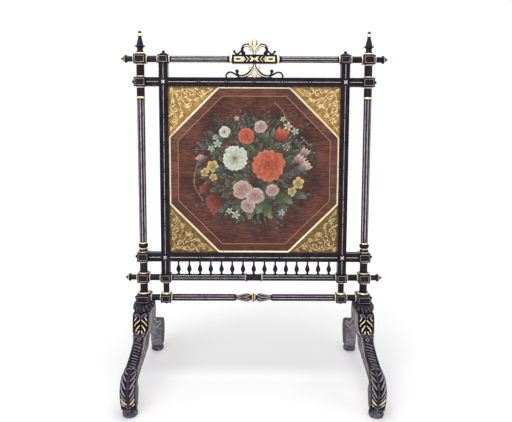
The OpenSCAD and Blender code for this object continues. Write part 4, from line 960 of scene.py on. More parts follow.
def cushionMesh(name, side):  # half-round moulding carved with leaning leaves
    shape, relief = newShape(), []
    rows, columns = 15, 216
    core = (cushionLook["wide"] - cushionLook["high"]) / 2
    squash = cushionLook["deep"] / cushionLook["wide"]
    for r in range(rows):
        lean = math.pi * (r / (rows - 1) - 0.5)
        for c in range(columns):
            a = math.tau * c / columns
            wave = abs(math.sin(cushionLook["leaves"] / 2 * (a + cushionLook["swirl"] * lean / cushionLook["leaves"] * 3)))
            wave = wave ** 0.55
            depth = cushionLook["depth"] * (1 - wave) * math.cos(lean) ** 0.5
            reach = core + (cushionLook["high"] / 2 - depth) * math.cos(lean)
            z = legTop + cushionLook["high"] / 2 * (1 + math.sin(lean))
            shape["verts"].append((side * postX + reach * math.cos(a), squash * reach * math.sin(a), z))
            # relief on the cushion is painted light: lighter on the leaf lobes, painted shade in the grooves between
            # them
            relief.append(0.58 * wave)
    shape["faces"] = gridFaces(rows, columns, wrapColumns=True)
    shape["faces"] += [list(range(columns))[::-1], [(rows - 1) * columns + c for c in range(columns)]]
    mesh = bpy.data.meshes.new(name)
    mesh.from_pydata(shape["verts"], [], shape["faces"])
    mesh.materials.append(carvedEbonyPaintedLight)
    markPaintedLight(mesh, relief)
    softShade(mesh, 50)
    return mesh


def blockShape(centre, size, ease):  # block with eased edges all round
    shape = newShape()
    x, y, z = (s / 2 for s in size)
    e = ease
    rings = [(x - e, y - e, -z), (x, y, -z + e), (x, y, z - e), (x - e, y - e, z)]
    for w, d, h in rings:
        outline = [(w - e, -d), (w, -d + e), (w, d - e), (w - e, d), (-w + e, d), (-w, d - e), (-w, -d + e), (-w + e, -d)]
        shape["verts"] += [(centre[0] + p, centre[1] + q, centre[2] + h) for p, q in outline]
    shape["faces"] = gridFaces(len(rings), 8, wrapColumns=True)
    shape["faces"] += [list(range(8))[::-1], [24 + c for c in range(8)]]
    shape["slots"] = [0] * len(shape["faces"])
    return shape


baseTop = high("base_block_right").z
for word, side in (("Left", left), ("Right", right)):
    node = f"base_block_{word.lower()}"
    hold(newPiece(f"cushion{word}", cushionMesh(f"cushion{word}", side)), "parcel_gilt", node)
    bottom = legTop + cushionLook["high"] - 3 * mm
    shape = blockShape((side * postX, 0, (bottom + baseTop) / 2), (42 * mm, 56 * mm, baseTop - bottom), 1.2 * mm)
    hold(newPiece(f"baseBlock{word}", meshFrom(f"baseBlock{word}", shape, [ebonised], 25)), "parcel_gilt", node)
print("legs and base carved")


# ---- carved crest, scrolls and tablet

crestLook = {"width": 126, "height": 47, "stem": 2.2, "thick": 9, "fat": 1.22}
scrollLook = {"width": 172, "height": 40.75, "strip": 0.62}
crestFoot = tabletTop
scrollFoot = high("upper_panel_rail").z
crestGilt = [[(0, 0, 1.8), (0, 13, 1.1), (0, 34, 0.9), (0, 55, 1.9), (0, 72, 2.9), (0, 87, 2.4), (0, 99, 0.5)],
             [(1, 23, 0.7), (6, 40, 0.9), (14, 56, 1.5), (22, 67, 1.4), (29, 78, 0.4)],
             [(18, 45, 0.6), (22, 36, 1.2), (23, 26, 0.4)]]
crestCurls = [[(2, 4, 1.1), (8, 28, 1.1), (19, 48, 1.4), (33, 61, 1.6), (48, 57, 1.6), (57, 40, 1.5), (58, 21, 1.7), (52, 9, 1.9)]]
crestDark = [[(59, 26, 0.8), (70, 16, 0.9), (79, 4, 1), (89, 10, 0.9), (95, 19, 0.9)]]
crestEyes = [(52, 10, 2.8), (95, 20, 1.7)]
scrollGilt = [[(0, 100, 1.8), (0, 85, 1.4), (0, 68, 0.5)], [(0, 0, 1.8), (0, 18, 1), (0, 42, 0.4)],
              [(7, 58, 0.6), (15, 66, 1.2), (21, 77, 0.4)], [(1, 0, 1.1), (6, 13, 0.7), (12, 32, 0.3)]]
scrollCurls = [[(0.5, 98, 1.1), (4, 72, 1.3), (12, 46, 1.9), (23, 23, 2), (37, 11, 1.8), (50, 10, 1.6), (58, 22, 1.3),
                (60, 38, 1)]]
scrollDark = [[(48, 9, 1.2), (63, 21, 1), (77, 37, 0.9), (89, 38, 0.9), (97, 22, 0.9), (98, 0, 1)]]
scrollEyes = [(60, 46, 2.5)]
stemSection = [(-1, 0), (-1, 0.62), (-0.86, 0.8), (-0.66, 0.84), (-0.58, 0.9), (-0.32, 1), (0, 0.94), (0.32, 1),
               (0.58, 0.9), (0.66, 0.84), (0.86, 0.8), (1, 0.62)]


def carvedStem(shape, points, look, foot, side, giltUntil, inner=False):
    half = crestLook["thick"] / 2 * mm
    line = [(side * p[0] * look["width"] / 200 * mm, foot + p[1] * look["height"] / 100 * mm,
             p[2] * crestLook["stem"] * crestLook["fat"] * mm) for p in smooth(points, 8)]
    ring = stemSection + [(-u, -y) for u, y in stemSection]
    verts, slots = [], []
    last = len(line) - 1
    for i, (x, z, breadth) in enumerate(line):
        a, b = line[max(i - 1, 0)], line[min(i + 1, last)]
        run = Vector((b[0] - a[0], b[1] - a[1])).normalized()
        ends = 0.35 if i in (0, last) else 0.8 if i in (1, last - 1) else 1.0
        deep = half * (1 - 0.25 * (1 - min(1.0, breadth / (1.1 * mm)))) * (0.75 + 0.25 * ends)
        for u, y in ring:
            verts.append((x - run.y * u * breadth * ends, -y * deep, z + run.x * u * breadth * ends))
    count = len(ring)
    faces = gridFaces(len(line), count, wrapColumns=True)
    for r in range(last):
        for c in range(count):
            facing = ring[c][1] > 0.82 and ring[(c + 1) % count][1] > 0.82
            facing = facing and (not inner or (ring[c][0] + ring[(c + 1) % count][0]) * side < 0.1)
            slots.append(1 if facing and r < giltUntil * last else 0)
    faces += [list(range(count))[::-1], [last * count + c for c in range(count)]]
    addTo(shape, verts, faces, slots + [0, 0])


def carvedEye(shape, spot, look, foot, side):  # round end of a scroll, dished with a button in it
    x = side * spot[0] * look["width"] / 200 * mm
    z = foot + spot[1] * look["height"] / 100 * mm
    r = spot[2] * crestLook["stem"] * mm
    half = crestLook["thick"] / 2 * mm
    rows = [(0.02, 0.98), (0.3, 0.93), (0.48, 0.8), (0.6, 0.78), (0.75, 0.98), (0.9, 0.96), (1, 0.8)]
    rows += [(a, -b) for a, b in rows[::-1]]
    columns = 20
    verts = [(x + r * a * math.cos(math.tau * c / columns), -half * b, z + r * a * math.sin(math.tau * c / columns))
             for a, b in rows for c in range(columns)]
    faces = gridFaces(len(rows), columns, wrapColumns=True)
    faces += [list(range(columns))[::-1], [(len(rows) - 1) * columns + c for c in range(columns)]]
    addTo(shape, verts, faces)


def ornamentPiece(name, node, look, foot, gilded, curls, plain, eyes, giltUntil):
    shape = newShape()
    for lines, until in ((gilded, 1), (curls, giltUntil), (plain, 0)):
        for points in lines:
            for side in ((left, right) if points[-1][0] > 0 else (right,)):
                carvedStem(shape, points, look, foot, side, until, lines is curls)
    for spot in eyes:
        for side in (left, right):
            carvedEye(shape, spot, look, foot, side)
    if "strip" in look:
        wide = look["width"] / 2 * look["strip"] * mm
        outline = [(-wide, foot), (wide, foot), (wide - 1.2 * mm, foot + 2 * mm), (-wide + 1.2 * mm, foot + 2 * mm)]
        verts = [(x, y, z) for y in (-4 * mm, 4 * mm) for x, z in outline]
        addTo(shape, verts, [[0, 1, 2, 3], [7, 6, 5, 4], [0, 4, 5, 1], [1, 5, 6, 2], [2, 6, 7, 3], [3, 7, 4, 0]])
    return hold(newPiece(name, meshFrom(name, shape, [ebonised, gilt], 42)), "parcel_gilt", node)


ornamentPiece("crestCarving", "crest", crestLook, crestFoot, crestGilt, crestCurls, crestDark, crestEyes, 0.62)
ornamentPiece("underCrest", "under_crest", scrollLook, scrollFoot, scrollGilt, scrollCurls, scrollDark, scrollEyes, 0.72)


def plate(shape, outline, y, thick, face, slot=0, bevel=0.35 * mm):  # thin raised plate with eased edges
    cx = sum(p[0] for p in outline) / len(outline)
    cz = sum(p[1] for p in outline) / len(outline)
    count = len(outline)
    verts = [(x, y, z) for x, z in outline] + [(x, y + face * thick * 0.5, z) for x, z in outline]
    for x, z in outline:
        away = math.hypot(x - cx, z - cz)
        k = (away - bevel * 1.4) / away
        verts.append((cx + (x - cx) * k, y + face * thick, cz + (z - cz) * k))
    faces = gridFaces(3, count, wrapColumns=True)
    addTo(shape, verts, faces + [list(range(count))[::-1], [2 * count + c for c in range(count)]], slot)


tabletLook = {"long": 123.6, "high": 17.6, "panel": 26, "chevrons": (35, 45), "line": 2.6, "sunk": 1.2}


def makeScatterTree():  # lays a small carved shape on each point, turned as the point says
    tree, given = newTree("laidCarving", [("Shape", "Object", None), ("Material", "Material", None)])
    spin = addNode(tree, "GeometryNodeInputNamedAttribute", {"Name": "spin"}, data_type="FLOAT_VECTOR").outputs[0]
    size = addNode(tree, "GeometryNodeInputNamedAttribute", {"Name": "stretch"}, data_type="FLOAT_VECTOR").outputs[0]
    item = addNode(tree, "GeometryNodeObjectInfo", {"Object": given["Shape"]}).outputs["Geometry"]
    laid = addNode(tree, "GeometryNodeInstanceOnPoints", {"Points": given["Geometry"], "Instance": item,
                                                          "Rotation": spin, "Scale": size}).outputs[0]
    endTree(tree, laid, given["Material"])
    return tree


scatterTree = makeScatterTree()
leafShape = newPiece("leafShape", meshFrom("leafShape", lens(1, 1, 1, 7, 5, 0.62, 0.35), []))
gougeShape = newPiece("gougeShape", meshFrom("gougeShape", lens(1, 1, 1, 7, 5, 0.9), []))
leafShape.hide_render = gougeShape.hide_render = True


def layOn(name, places, holder, material, slot, angle=50):  # places as (point, facing, along, (wide, deep, long))
    mesh = bpy.data.meshes.new(name)
    mesh.from_pydata([tuple(p[0]) for p in places], [], [])
    spins, stretches = [], []
    for point, facing, along, stretch in places:
        y = -Vector(facing).normalized()
        z = Vector(along)
        z = (z - z.dot(y) * y).normalized()
        x = y.cross(z)
        spins += list(Matrix((x, y, z)).transposed().to_euler())
        stretches += stretch
    for label, values in (("spin", spins), ("stretch", stretches)):
        layer = mesh.attributes.new(label, "FLOAT_VECTOR", "POINT")
        layer.data.foreach_set("vector", values)
    piece = newPiece(name, mesh)
    grow(piece, scatterTree, {"Shape": holder, "Material": material}, angle)
    return hold(piece, slot)


def makeTablet():
    shape = newShape()
    lines, leaves, drops = [], [], []
    half, high = tabletLook["long"] / 2 * mm, tabletLook["high"] / 2 * mm
    for face in (front, rear):
        y = face * (23 / 2 - tabletLook["sunk"]) * mm
        facing = (0, face, 0)
        for side in (left, right):
            start, end = side * (half - 1.2 * mm), side * (half - tabletLook["panel"] * mm)
            tip = end - side * 6 * mm
            h = high - 1.2 * mm
            outline = [(start, topZ - h), (end, topZ - h), (tip, topZ), (end, topZ + h), (start, topZ + h)]
            plate(shape, outline, y, 0.7 * mm, face)
            for away in tabletLook["chevrons"]:
                tipX = side * (half - away * mm)
                lines.append([(tipX + side * 7 * mm, y, topZ - h), (tipX, y, topZ), (tipX + side * 7 * mm, y, topZ + h)])
            for up in (left, right):
                leaves.append((Vector((side * 3 * mm, y, topZ)), facing, (side, 0, up * 0.72), (5.5 * mm, 1.1 * mm, 13 * mm)))
            spot = Vector((side * (half - 4 * mm), y + face * 0.6 * mm, topZ))
            drops.append((spot, facing, (-side, 0, 0), (6.4 * mm, 0.9 * mm, 20 * mm)))
        corners = [(x * 3.4 * mm, topZ + z * 3.4 * mm) for x, z in ((1, 0), (0, 1), (-1, 0), (0, -1))]
        plate(shape, corners, y, 1.4 * mm, face)
    hold(newPiece("tabletPanels", meshFrom("tabletPanels", shape, [gilt], 30)), "gilt")
    piece = edgesPiece("tabletChevrons", lines)
    grow(piece, lineTree, {"Width": tabletLook["line"] * mm, "Height": 0.7 * mm, "Material": gilt})
    hold(piece, "gilt")
    layOn("tabletLeaves", leaves, leafShape, gilt, "gilt")
    layOn("tabletDrops", drops, gougeShape, ebonised, "ebonised")


makeTablet()
print("crest and tablet carved")


# ---- octagonal moulding and gilt corners

panelLook = {"wide": 514, "high": 504.5, "cut": 150, "moulding": 6, "band": 29, "inlay": 1.5}


def octagonAt(gap):  # corners of the opening's octagon, drawn in by gap millimetres
    w, h = panelLook["wide"] / 2 - gap, panelLook["high"] / 2 - gap
    cut = panelLook["cut"] - gap * (2 - math.sqrt(2))
    corners = [(-w, cut - h), (cut - w, -h), (w - cut, -h), (w, cut - h), (w, h - cut), (w - cut, h), (cut - w, h),
               (-w, h - cut)]
    return [(x * mm, panelMid + z * mm) for x, z in corners]


def octagonRing(name, section, materials, slot, *nodes):  # section as (gap, height above the board) in millimetres
    shape = newShape()
    for gap, height in section:
        shape["verts"] += [(x, panelFace - height * mm, z) for x, z in octagonAt(gap)]
    faces = gridFaces(len(section), 8, wrapColumns=True)
    faces += [[(len(section) - 1) * 8 + c, (len(section) - 1) * 8 + (c + 1) % 8, (c + 1) % 8, c] for c in range(8)]
    shape["faces"] = faces
    shape["slots"] = [0] * len(faces)
    return hold(newPiece(name, meshFrom(name, shape, materials, 42)), slot, *nodes)


mouldingSection = [(0.15, 0), (0.15, 2.3), (0.5, 2.7), (0.9, 2.8)]
mouldingSection += [(2.75 - 1.8 * math.cos(math.radians(a)), 2.6 + 1.6 * math.sin(math.radians(a))) for a in range(0, 181, 20)]
mouldingSection += [(4.7, 1.9), (5.2, 1.8), (5.6, 1.4), (6, 0.9), (6, 0)]
octagonRing("octagonMoulding", mouldingSection, [gilt], "gilt", "octagon_moulding")

cornerLook = {"ground": "#9c7838", "light": "#c9a566", "dark": "#6e5020", "lower": 0.52, "relief": "#dfc594"}


def darkerBelowMiddle(tree, colour, least):  # the lower corner boards are drawn darker than the upper ones
    place = addNode(tree, "ShaderNodeTexCoord").outputs["Object"]
    height = addNode(tree, "ShaderNodeSeparateXYZ", {0: place}).outputs["Z"]
    level = addNode(tree, "ShaderNodeMapRange", {"Value": height, "From Min": panelMid - 0.1, "From Max": panelMid + 0.1,
                                                 "To Min": least, "To Max": 1.0}).outputs[0]
    return addNode(tree, "ShaderNodeVectorMath", {0: colour, 1: level}, operation="MULTIPLY").outputs[0]


def mottledGilding():  # old gilding on the corner boards: gold broken by brown toning, darker in the lower corners
    material, tree, shader = newMaterial("mottledGilding")
    patches = patternFrom(tree, 9 * mm, detail=7.0, roughness=0.68)
    colour = ramp(tree, patches, [(0.32, cornerLook["dark"]), (0.48, cornerLook["ground"]), (0.68, cornerLook["light"])])
    tree.links.new(darkerBelowMiddle(tree, colour, cornerLook["lower"]), shader.inputs["Base Color"])
    tree.links.new(bump(tree, patches, 0.3 * mm), shader.inputs["Normal"])
    shader.inputs["Metallic"].default_value = 0.35
    shader.inputs["Roughness"].default_value = 0.52
    return material


cornerGold = mottledGilding()
paleGold = giltGesso("paleReliefGilding", {"bright": "#eedab4", "leaf": cornerLook["relief"], "rubbed": "#a07c44",
                                           "patchMm": 7}, 0.4, 0.55)
tree = paleGold.node_tree
shader = next(node for node in tree.nodes if node.type == "BSDF_PRINCIPLED")
# the raised gilding is drawn darker towards the bottom too
tree.links.new(darkerBelowMiddle(tree, shader.inputs["Base Color"].links[0].from_socket, 0.78), shader.inputs["Base Color"])
dressed("spandrels", "cornerBoards", lambda c, n: 0, [cornerGold], "gilt")


def spiral(u, v, radius, start, turns, way, shrink=0.12):  # from the outside in
    count = int(abs(turns) * 26)
    out = []
    for i in range(count + 1):
        t = i / count
        a = math.radians(start) + way * math.tau * turns * t
        r = radius * (1 - (1 - shrink) * t ** 0.8)
        out.append((u + r * math.cos(a), v + r * math.sin(a)))
    return out


def makeCorners():  # leaf scrolls that spring from each corner, the same four times
    curls = [(30, 30, 17, 225, 1.15, 1), (68, 21, 14, 170, 1.2, 1), (21, 68, 14, 280, 1.2, -1),
             (101, 15, 10.5, 190, 1.1, -1), (15, 101, 10.5, 260, 1.1, 1), (60, 54, 13, 250, 1.1, 1),
             (54, 60, 9, 20, 0.9, -1), (124, 10, 6, 180, 1.0, 1), (10, 124, 6, 270, 1.0, -1),
             (45, 12, 7.5, 20, 1.0, 1), (12, 45, 7.5, 70, 1.0, -1), (86, 38, 8.5, 200, 1.0, -1),
             (38, 86, 8.5, 250, 1.0, 1), (9, 9, 5, 45, 1.0, 1), (84, 8, 5, 0, 0.9, -1), (8, 84, 5, 90, 0.9, 1)]
    stems = [[(4, 4), (18, 14), (34, 12), (54, 8), (72, 9), (92, 26), (104, 27), (118, 16), (134, 6)],
             [(16, 18), (40, 36), (48, 48), (66, 66)], [(46, 30), (60, 36), (76, 40), (94, 32)]]
    lines, leaves = [], []
    for sx in (left, right):
        for sz in (left, right):
            def at(u, v, sx=sx, sz=sz):
                return (sx * (panelLook["wide"] / 2 - u) * mm, panelFace, panelMid + sz * (panelLook["high"] / 2 - v) * mm)
            paths = [spiral(*curl) for curl in curls]
            paths += [smooth(stem, 6) for stem in stems] + [smooth([p[::-1] for p in stem], 6) for stem in stems[::2]]
            for path in paths:
                path = [p for p in path if p[0] + p[1] < panelLook["cut"] - 9]
                if len(path) < 3:
                    continue
                lines.append([at(*p) for p in path])
                for i in range(2, len(path) - 1, 6):
                    (u, v), (u2, v2) = path[i - 1], path[i + 1]
                    lean = math.atan2(-sx * (u2 - u), -sz * (v2 - v)) + (0.7 if (i // 6) % 2 else -0.7)
                    if path[i][0] + path[i][1] < panelLook["cut"] - 16 and min(path[i]) > 4:
                        leaves.append((*at(*path[i]), math.degrees(lean), 0.75 + 0.5 * ((i * 7) % 5) / 4))
    piece = edgesPiece("cornerScrolls", lines)
    grow(piece, lineTree, {"Width": 1.9 * mm, "Height": 0.7 * mm, "Material": paleGold}, 60)
    hold(piece, "gilt")
    piece = newPiece("cornerLeaves", meshFrom("cornerLeaves", lens(6.6 * mm, 2.9 * mm, 0.8 * mm, 6, 5, 0.7, 0.4), []))
    grow(piece, rosetteTree, {"Copies": 1, "Per Ring": 1, "Places": placesAt("cornerLeafPlaces", leaves), "Material": paleGold})
    hold(piece, "gilt")


makeCorners()
print("moulding and corners made")


# ---- painted board

boardLook = {"dark": "#231112", "wood": "#48241e", "light": "#734031", "bandDark": "#452724", "band": "#5e3731",
             "bandLight": "#7d4f44", "inlay": "#c08a5c", "streakMm": 1.7, "wave": 0.009, "warm": (0.74, 0.52, 0.36)}


def warmedBelow(tree, colour):  # the lower part of the border is drawn redder and darker
    place = addNode(tree, "ShaderNodeTexCoord").outputs["Object"]
    height = addNode(tree, "ShaderNodeSeparateXYZ", {0: place}).outputs["Z"]
    share = addNode(tree, "ShaderNodeMapRange", {"Value": height, "From Min": panelMid - 0.05, "From Max": panelMid - 0.24})
    warm = tuple(boardLook["warm"]) + (1.0,)
    return addNode(tree, "ShaderNodeMix", {0: share.outputs[0], 6: colour, 7: warm}, data_type="RGBA",
                   blend_type="MULTIPLY").outputs[2]


def veneer(name, dark, wood, light, streak, warmed=False, patchy=0.7):  # stained veneer: fine streaks along the board, darker in places
    material, tree, shader = newMaterial(name)
    place = addNode(tree, "ShaderNodeTexCoord").outputs["Object"]
    swell = addNode(tree, "ShaderNodeTexNoise", {"Vector": place, "Scale": 14.0, "Detail": 2.0}).outputs["Color"]
    bent = addNode(tree, "ShaderNodeVectorMath", {0: swell, 1: (0.0, 0.0, boardLook["wave"]), 2: place}, operation="MULTIPLY_ADD").outputs[0]
    mapped = addNode(tree, "ShaderNodeMapping", {"Vector": bent, "Scale": (0.09, 1, 1)}).outputs[0]
    grain = addNode(tree, "ShaderNodeTexNoise", {"Vector": mapped, "Scale": 1 / (streak * mm), "Detail": 6.0,
                                                 "Roughness": 0.6}).outputs["Fac"]
    broad = patternFrom(tree, 80 * mm, detail=3.0)
    mixed = addNode(tree, "ShaderNodeMath", {0: broad, 1: patchy, 2: grain}, operation="MULTIPLY_ADD").outputs[0]
    even = 0.5 + patchy / 2
    colour = ramp(tree, mixed, [(even - 0.17, dark), (even, wood), (even + 0.15, light)])
    tree.links.new(warmedBelow(tree, colour) if warmed else colour, shader.inputs["Base Color"])
    tree.links.new(bump(tree, grain, 0.12 * mm), shader.inputs["Normal"])
    shader.inputs["Roughness"].default_value = 0.42
    shader.inputs["Specular IOR Level"].default_value = 0.35
    return material


boardWood = veneer("stainedWalnutVeneer", boardLook["dark"], boardLook["wood"], boardLook["light"], boardLook["streakMm"])
bandWood = veneer("crossbandingVeneer", boardLook["bandDark"], boardLook["band"], boardLook["bandLight"], 3, True)
inlayWood, tree, shader = newMaterial("satinwoodStringing")  # pale orange line inlaid round the field
shader.inputs["Base Color"].default_value = toLinear(boardLook["inlay"])
shader.inputs["Roughness"].default_value = 0.45
dressed("painted_panel", "paintedPanel", lambda c, n: 0, [boardWood], "painted_board", 1)


def flatRing(name, outer, inner, height, material):
    octagonRing(name, [(outer, -0.2), (outer, height), (inner, height), (inner, -0.2)], [material], "painted_board")


flatRing("borderVeneer", 5, panelLook["band"] - panelLook["inlay"], 0.2, bandWood)
flatRing("inlayLine", panelLook["band"] - panelLook["inlay"], panelLook["band"], 0.3, inlayWood)


def oilPaint(name, root, middleTone, tip, other, gloss=0.5):  # brushed oil colour: root to tip, some petals of a second tone
    material, tree, shader = newMaterial(name)
    shade = addNode(tree, "ShaderNodeAttribute", attribute_name="shade").outputs["Fac"]
    tint = addNode(tree, "ShaderNodeAttribute", attribute_name="tint").outputs["Fac"]
    strokes = patternFrom(tree, 4 * mm, (1, 1, 0.6), 4.0)
    mixed = addNode(tree, "ShaderNodeMath", {0: strokes, 1: 1.3, 2: shade}, operation="MULTIPLY_ADD").outputs[0]
    mixed = addNode(tree, "ShaderNodeMath", {0: mixed, 1: 0.68}, operation="SUBTRACT").outputs[0]
    colour = ramp(tree, mixed, [(0.15, root), (0.55, middleTone), (0.95, tip)])
    second = addNode(tree, "ShaderNodeMath", {0: tint, 1: 0.6}, operation="MULTIPLY").outputs[0]
    blend = addNode(tree, "ShaderNodeMix", {0: second, 6: colour, 7: tuple(toLinear(other))}, data_type="RGBA")
    tree.links.new(blend.outputs[2], shader.inputs["Base Color"])
    tree.links.new(bump(tree, strokes, 0.15 * mm), shader.inputs["Normal"])
    shader.inputs["Roughness"].default_value = gloss
    shader.inputs["Specular IOR Level"].default_value = 0.3
    return material


paints = {
    "orange": oilPaint("vermilionPaint", "#7a3226", "#b9583e", "#d8866a", "#9c4634"),
    "white": oilPaint("leadWhitePaint", "#7f8878", "#bdc2b0", "#eceee2", "#a9b4a4"),
    "pink": oilPaint("dustyPinkPaint", "#7e5a56", "#b3948a", "#dccabc", "#9c7c78"),
    "yellow": oilPaint("naplesYellowPaint", "#8a6e40", "#c0a868", "#e6d8a4", "#a08a54"),
    "red": oilPaint("madderPaint", "#4a2022", "#85403a", "#a8605a", "#68302e"),
    "heart": oilPaint("ochrePaint", "#5f4420", "#b08a3a", "#dcc070", "#8a6a2c"),
    "leaf": oilPaint("terreVertePaint", "#2f332a", "#515845", "#888e74", "#5c6252"),
    "bright": oilPaint("sapGreenPaint", "#323d2a", "#556546", "#94a284", "#505f4c"),
    "grey": oilPaint("slateGreenPaint", "#383a38", "#5c605c", "#8d9290", "#525550"),
    "dim": oilPaint("deepGreenPaint", "#25201d", "#3a3b2e", "#565a44", "#33342a"),
}
bouquetLook = {"reach": 1.2, "heads": 1.12}
paintLayer = {"sprays": 0.15, "leaves": 0.3, "blooms": 0.5, "hearts": 0.9}


def onBoard(x, z, layer, turn=0, size=1.0):  # a place on the board, in millimetres from its middle
    reach = bouquetLook["reach"] * mm
    return (x * reach, panelFace - paintLayer[layer] * mm, panelMid + z * reach, turn, size * bouquetLook["heads"])


def makeSprayTree():  # stems along the piece's edges with leaves set alternately on them
    tree, given = newTree("leafSpray", [("Spacing", "Float", 0.01), ("Tilt", "Float", 0.7), ("Leaf", "Object", None),
                                        ("Size", "Float", 1.0), ("Stem", "Float", 0.0005), ("Seed", "Int", 1),
                                        ("Material", "Material", None)])
    curve = addNode(tree, "GeometryNodeMeshToCurve", {"Mesh": given["Geometry"]}).outputs[0]
    steps = addNode(tree, "GeometryNodeResampleCurve", {"Curve": curve, "Length": given["Spacing"]}, mode="LENGTH").outputs[0]
    run = addNode(tree, "ShaderNodeSeparateXYZ", {0: addNode(tree, "GeometryNodeInputTangent").outputs[0]}).outputs
    lean = addNode(tree, "ShaderNodeMath", {0: run["X"], 1: run["Z"]}, operation="ARCTAN2").outputs[0]
    index = addNode(tree, "GeometryNodeInputIndex").outputs[0]
    odd = addNode(tree, "ShaderNodeMath", {0: index, 1: 2.0}, operation="MODULO").outputs[0]
    way = addNode(tree, "ShaderNodeMath", {0: odd, 1: 2.0, 2: -1.0}, operation="MULTIPLY_ADD").outputs[0]
    wobble = addNode(tree, "FunctionNodeRandomValue", {2: 0.7, 3: 1.25, "Seed": given["Seed"]}).outputs[1]
    tilt = addNode(tree, "ShaderNodeMath", {0: way, 1: given["Tilt"]}, operation="MULTIPLY").outputs[0]
    turn = addNode(tree, "ShaderNodeMath", {0: tilt, 1: wobble, 2: lean}, operation="MULTIPLY_ADD").outputs[0]
    size = addNode(tree, "ShaderNodeMath", {0: wobble, 1: given["Size"]}, operation="MULTIPLY").outputs[0]
    leaf = addNode(tree, "GeometryNodeObjectInfo", {"Object": given["Leaf"]}).outputs["Geometry"]
    leaves = addNode(tree, "GeometryNodeInstanceOnPoints", {
        "Points": addNode(tree, "GeometryNodeCurveToPoints", {"Curve": steps}, mode="EVALUATED").outputs[0],
        "Instance": leaf, "Rotation": addNode(tree, "ShaderNodeCombineXYZ", {"Y": turn}).outputs[0],
        "Scale": size}).outputs[0]
    tint = addNode(tree, "FunctionNodeRandomValue", {2: 0.0, 3: 1.0, "Seed": given["Seed"]}).outputs[1]
    leaves = addNode(tree, "GeometryNodeStoreNamedAttribute", {"Geometry": leaves, "Name": "tint", "Value": tint},
                     data_type="FLOAT", domain="INSTANCE").outputs[0]
    ring = addNode(tree, "GeometryNodeCurvePrimitiveCircle", {"Resolution": 6, "Radius": given["Stem"]}).outputs[0]
    stem = addNode(tree, "GeometryNodeCurveToMesh", {"Curve": curve, "Profile Curve": ring, "Fill Caps": True}).outputs[0]
    joined = addNode(tree, "GeometryNodeJoinGeometry").inputs[0]
    tree.links.new(stem, joined)
    tree.links.new(leaves, joined)
    endTree(tree, joined.node.outputs[0], given["Material"])
    return tree


sprayTree = makeSprayTree()


def petal(name, length, width, rise, tip=0.6, fold=0.3, rows=7, columns=5, blunt=0.8):
    shape = lens(length * mm, width * mm, rise * mm, rows, columns, tip, fold, blunt)
    return markLength(meshFrom(name, shape, []), length * mm)


def ruffled(mesh, folds, depth):  # petals with a wavy edge and soft folds running out from the root
    reach = max(v.co.z for v in mesh.vertices)
    for v in mesh.vertices:
        share = v.co.z / reach
        v.co.x *= 1 + 0.1 * math.sin(9 * share)
        v.co.z *= 1 - 0.08 * math.cos(folds * v.co.x / reach) * share
        v.co.y -= depth * mm * share * (0.5 + 0.5 * math.sin(folds * v.co.x / reach + 1))
    return mesh


leafKinds = {}
for name, shape in (("willowLeaf", (15, 4.2, 0.35, 0.8)), ("roundLeaf", (12, 8, 0.45, 0.6)), ("fernLeaf", (8, 2.2, 0.25, 0.7)),
                    ("grain", (5.5, 2.1, 0.4, 0.7))):
    leafKinds[name] = newPiece(name, petal(name, *shape))
    leafKinds[name].hide_render = True

sprays = {  # leaf, paint, spacing, tilt, size, and the stems in millimetres from the board's middle
    "willowSprays": ("willowLeaf", "leaf", 6.5, 0.75, 1.0, [
        [(-20, 40), (-52, 86), (-62, 132)], [(-30, 20), (-86, 58), (-120, 92)], [(20, 50), (34, 100), (28, 148)],
        [(40, 30), (92, 76), (128, 112)], [(-40, -20), (-96, -20), (-138, -4)], [(60, -30), (112, -60), (150, -66)]]),
    "greySprays": ("roundLeaf", "grey", 9, 0.9, 1.05, [
        [(-30, 60), (-16, 104), (-30, 146)], [(50, 20), (106, 34), (150, 30)], [(-50, -50), (-104, -84), (-140, -92)],
        [(30, -60), (66, -112), (64, -150)], [(-20, 0), (-70, 24), (-116, 30)]]),
    "fernSprays": ("fernLeaf", "bright", 3.6, 0.95, 1.1, [
        [(10, 60), (58, 120), (100, 138)], [(-60, 20), (-110, 50), (-150, 50)], [(-30, -60), (-70, -118), (-110, -132)],
        [(70, -70), (118, -104), (132, -132)], [(-10, 70), (-84, 118), (-96, 140)]]),
    "dimSprays": ("willowLeaf", "dim", 6, 0.7, 1.15, [
        [(0, 20), (-44, 66), (-96, 84)], [(10, 20), (76, 60), (112, 70)], [(0, -40), (-70, -66), (-112, -52)],
        [(20, -30), (88, -86), (104, -110)], [(0, -60), (-24, -116), (-56, -146)], [(0, 40), (4, 92), (-6, 130)]]),
    "seedHeads": ("grain", "yellow", 3.2, 0.45, 0.95, [
        [(-128, -78), (-150, -40), (-146, 6), (-132, 26)], [(84, 118), (70, 150), (50, 168)], [(118, 84), (140, 60), (150, 44)]]),
}
for name, (leaf, paint, spacing, tilt, size, stems) in sprays.items():
    piece = edgesPiece(name, [[onBoard(*p, "sprays")[:3] for p in smooth(stem, 5)] for stem in stems])
    grow(piece, sprayTree, {"Spacing": spacing * mm, "Tilt": tilt, "Leaf": leafKinds[leaf], "Size": size, "Stem": 0.5 * mm,
                            "Seed": len(name), "Material": paints[paint]}, 60)
    hold(piece, "painted_board")


def bloom(name, petalMesh, paint, places, layer="blooms", slot="painted_board", **values):
    piece = newPiece(name, petalMesh)
    holder = placesAt(name + "Places", [onBoard(x, z, layer, turn, size) for x, z, turn, size in places])
    inputs = {"Copies": 5, "Per Ring": 5, "Places": holder, "Material": paints[paint], "Seed": len(places) + 3}
    grow(piece, rosetteTree, {**inputs, **values}, 60)
    return hold(piece, slot)


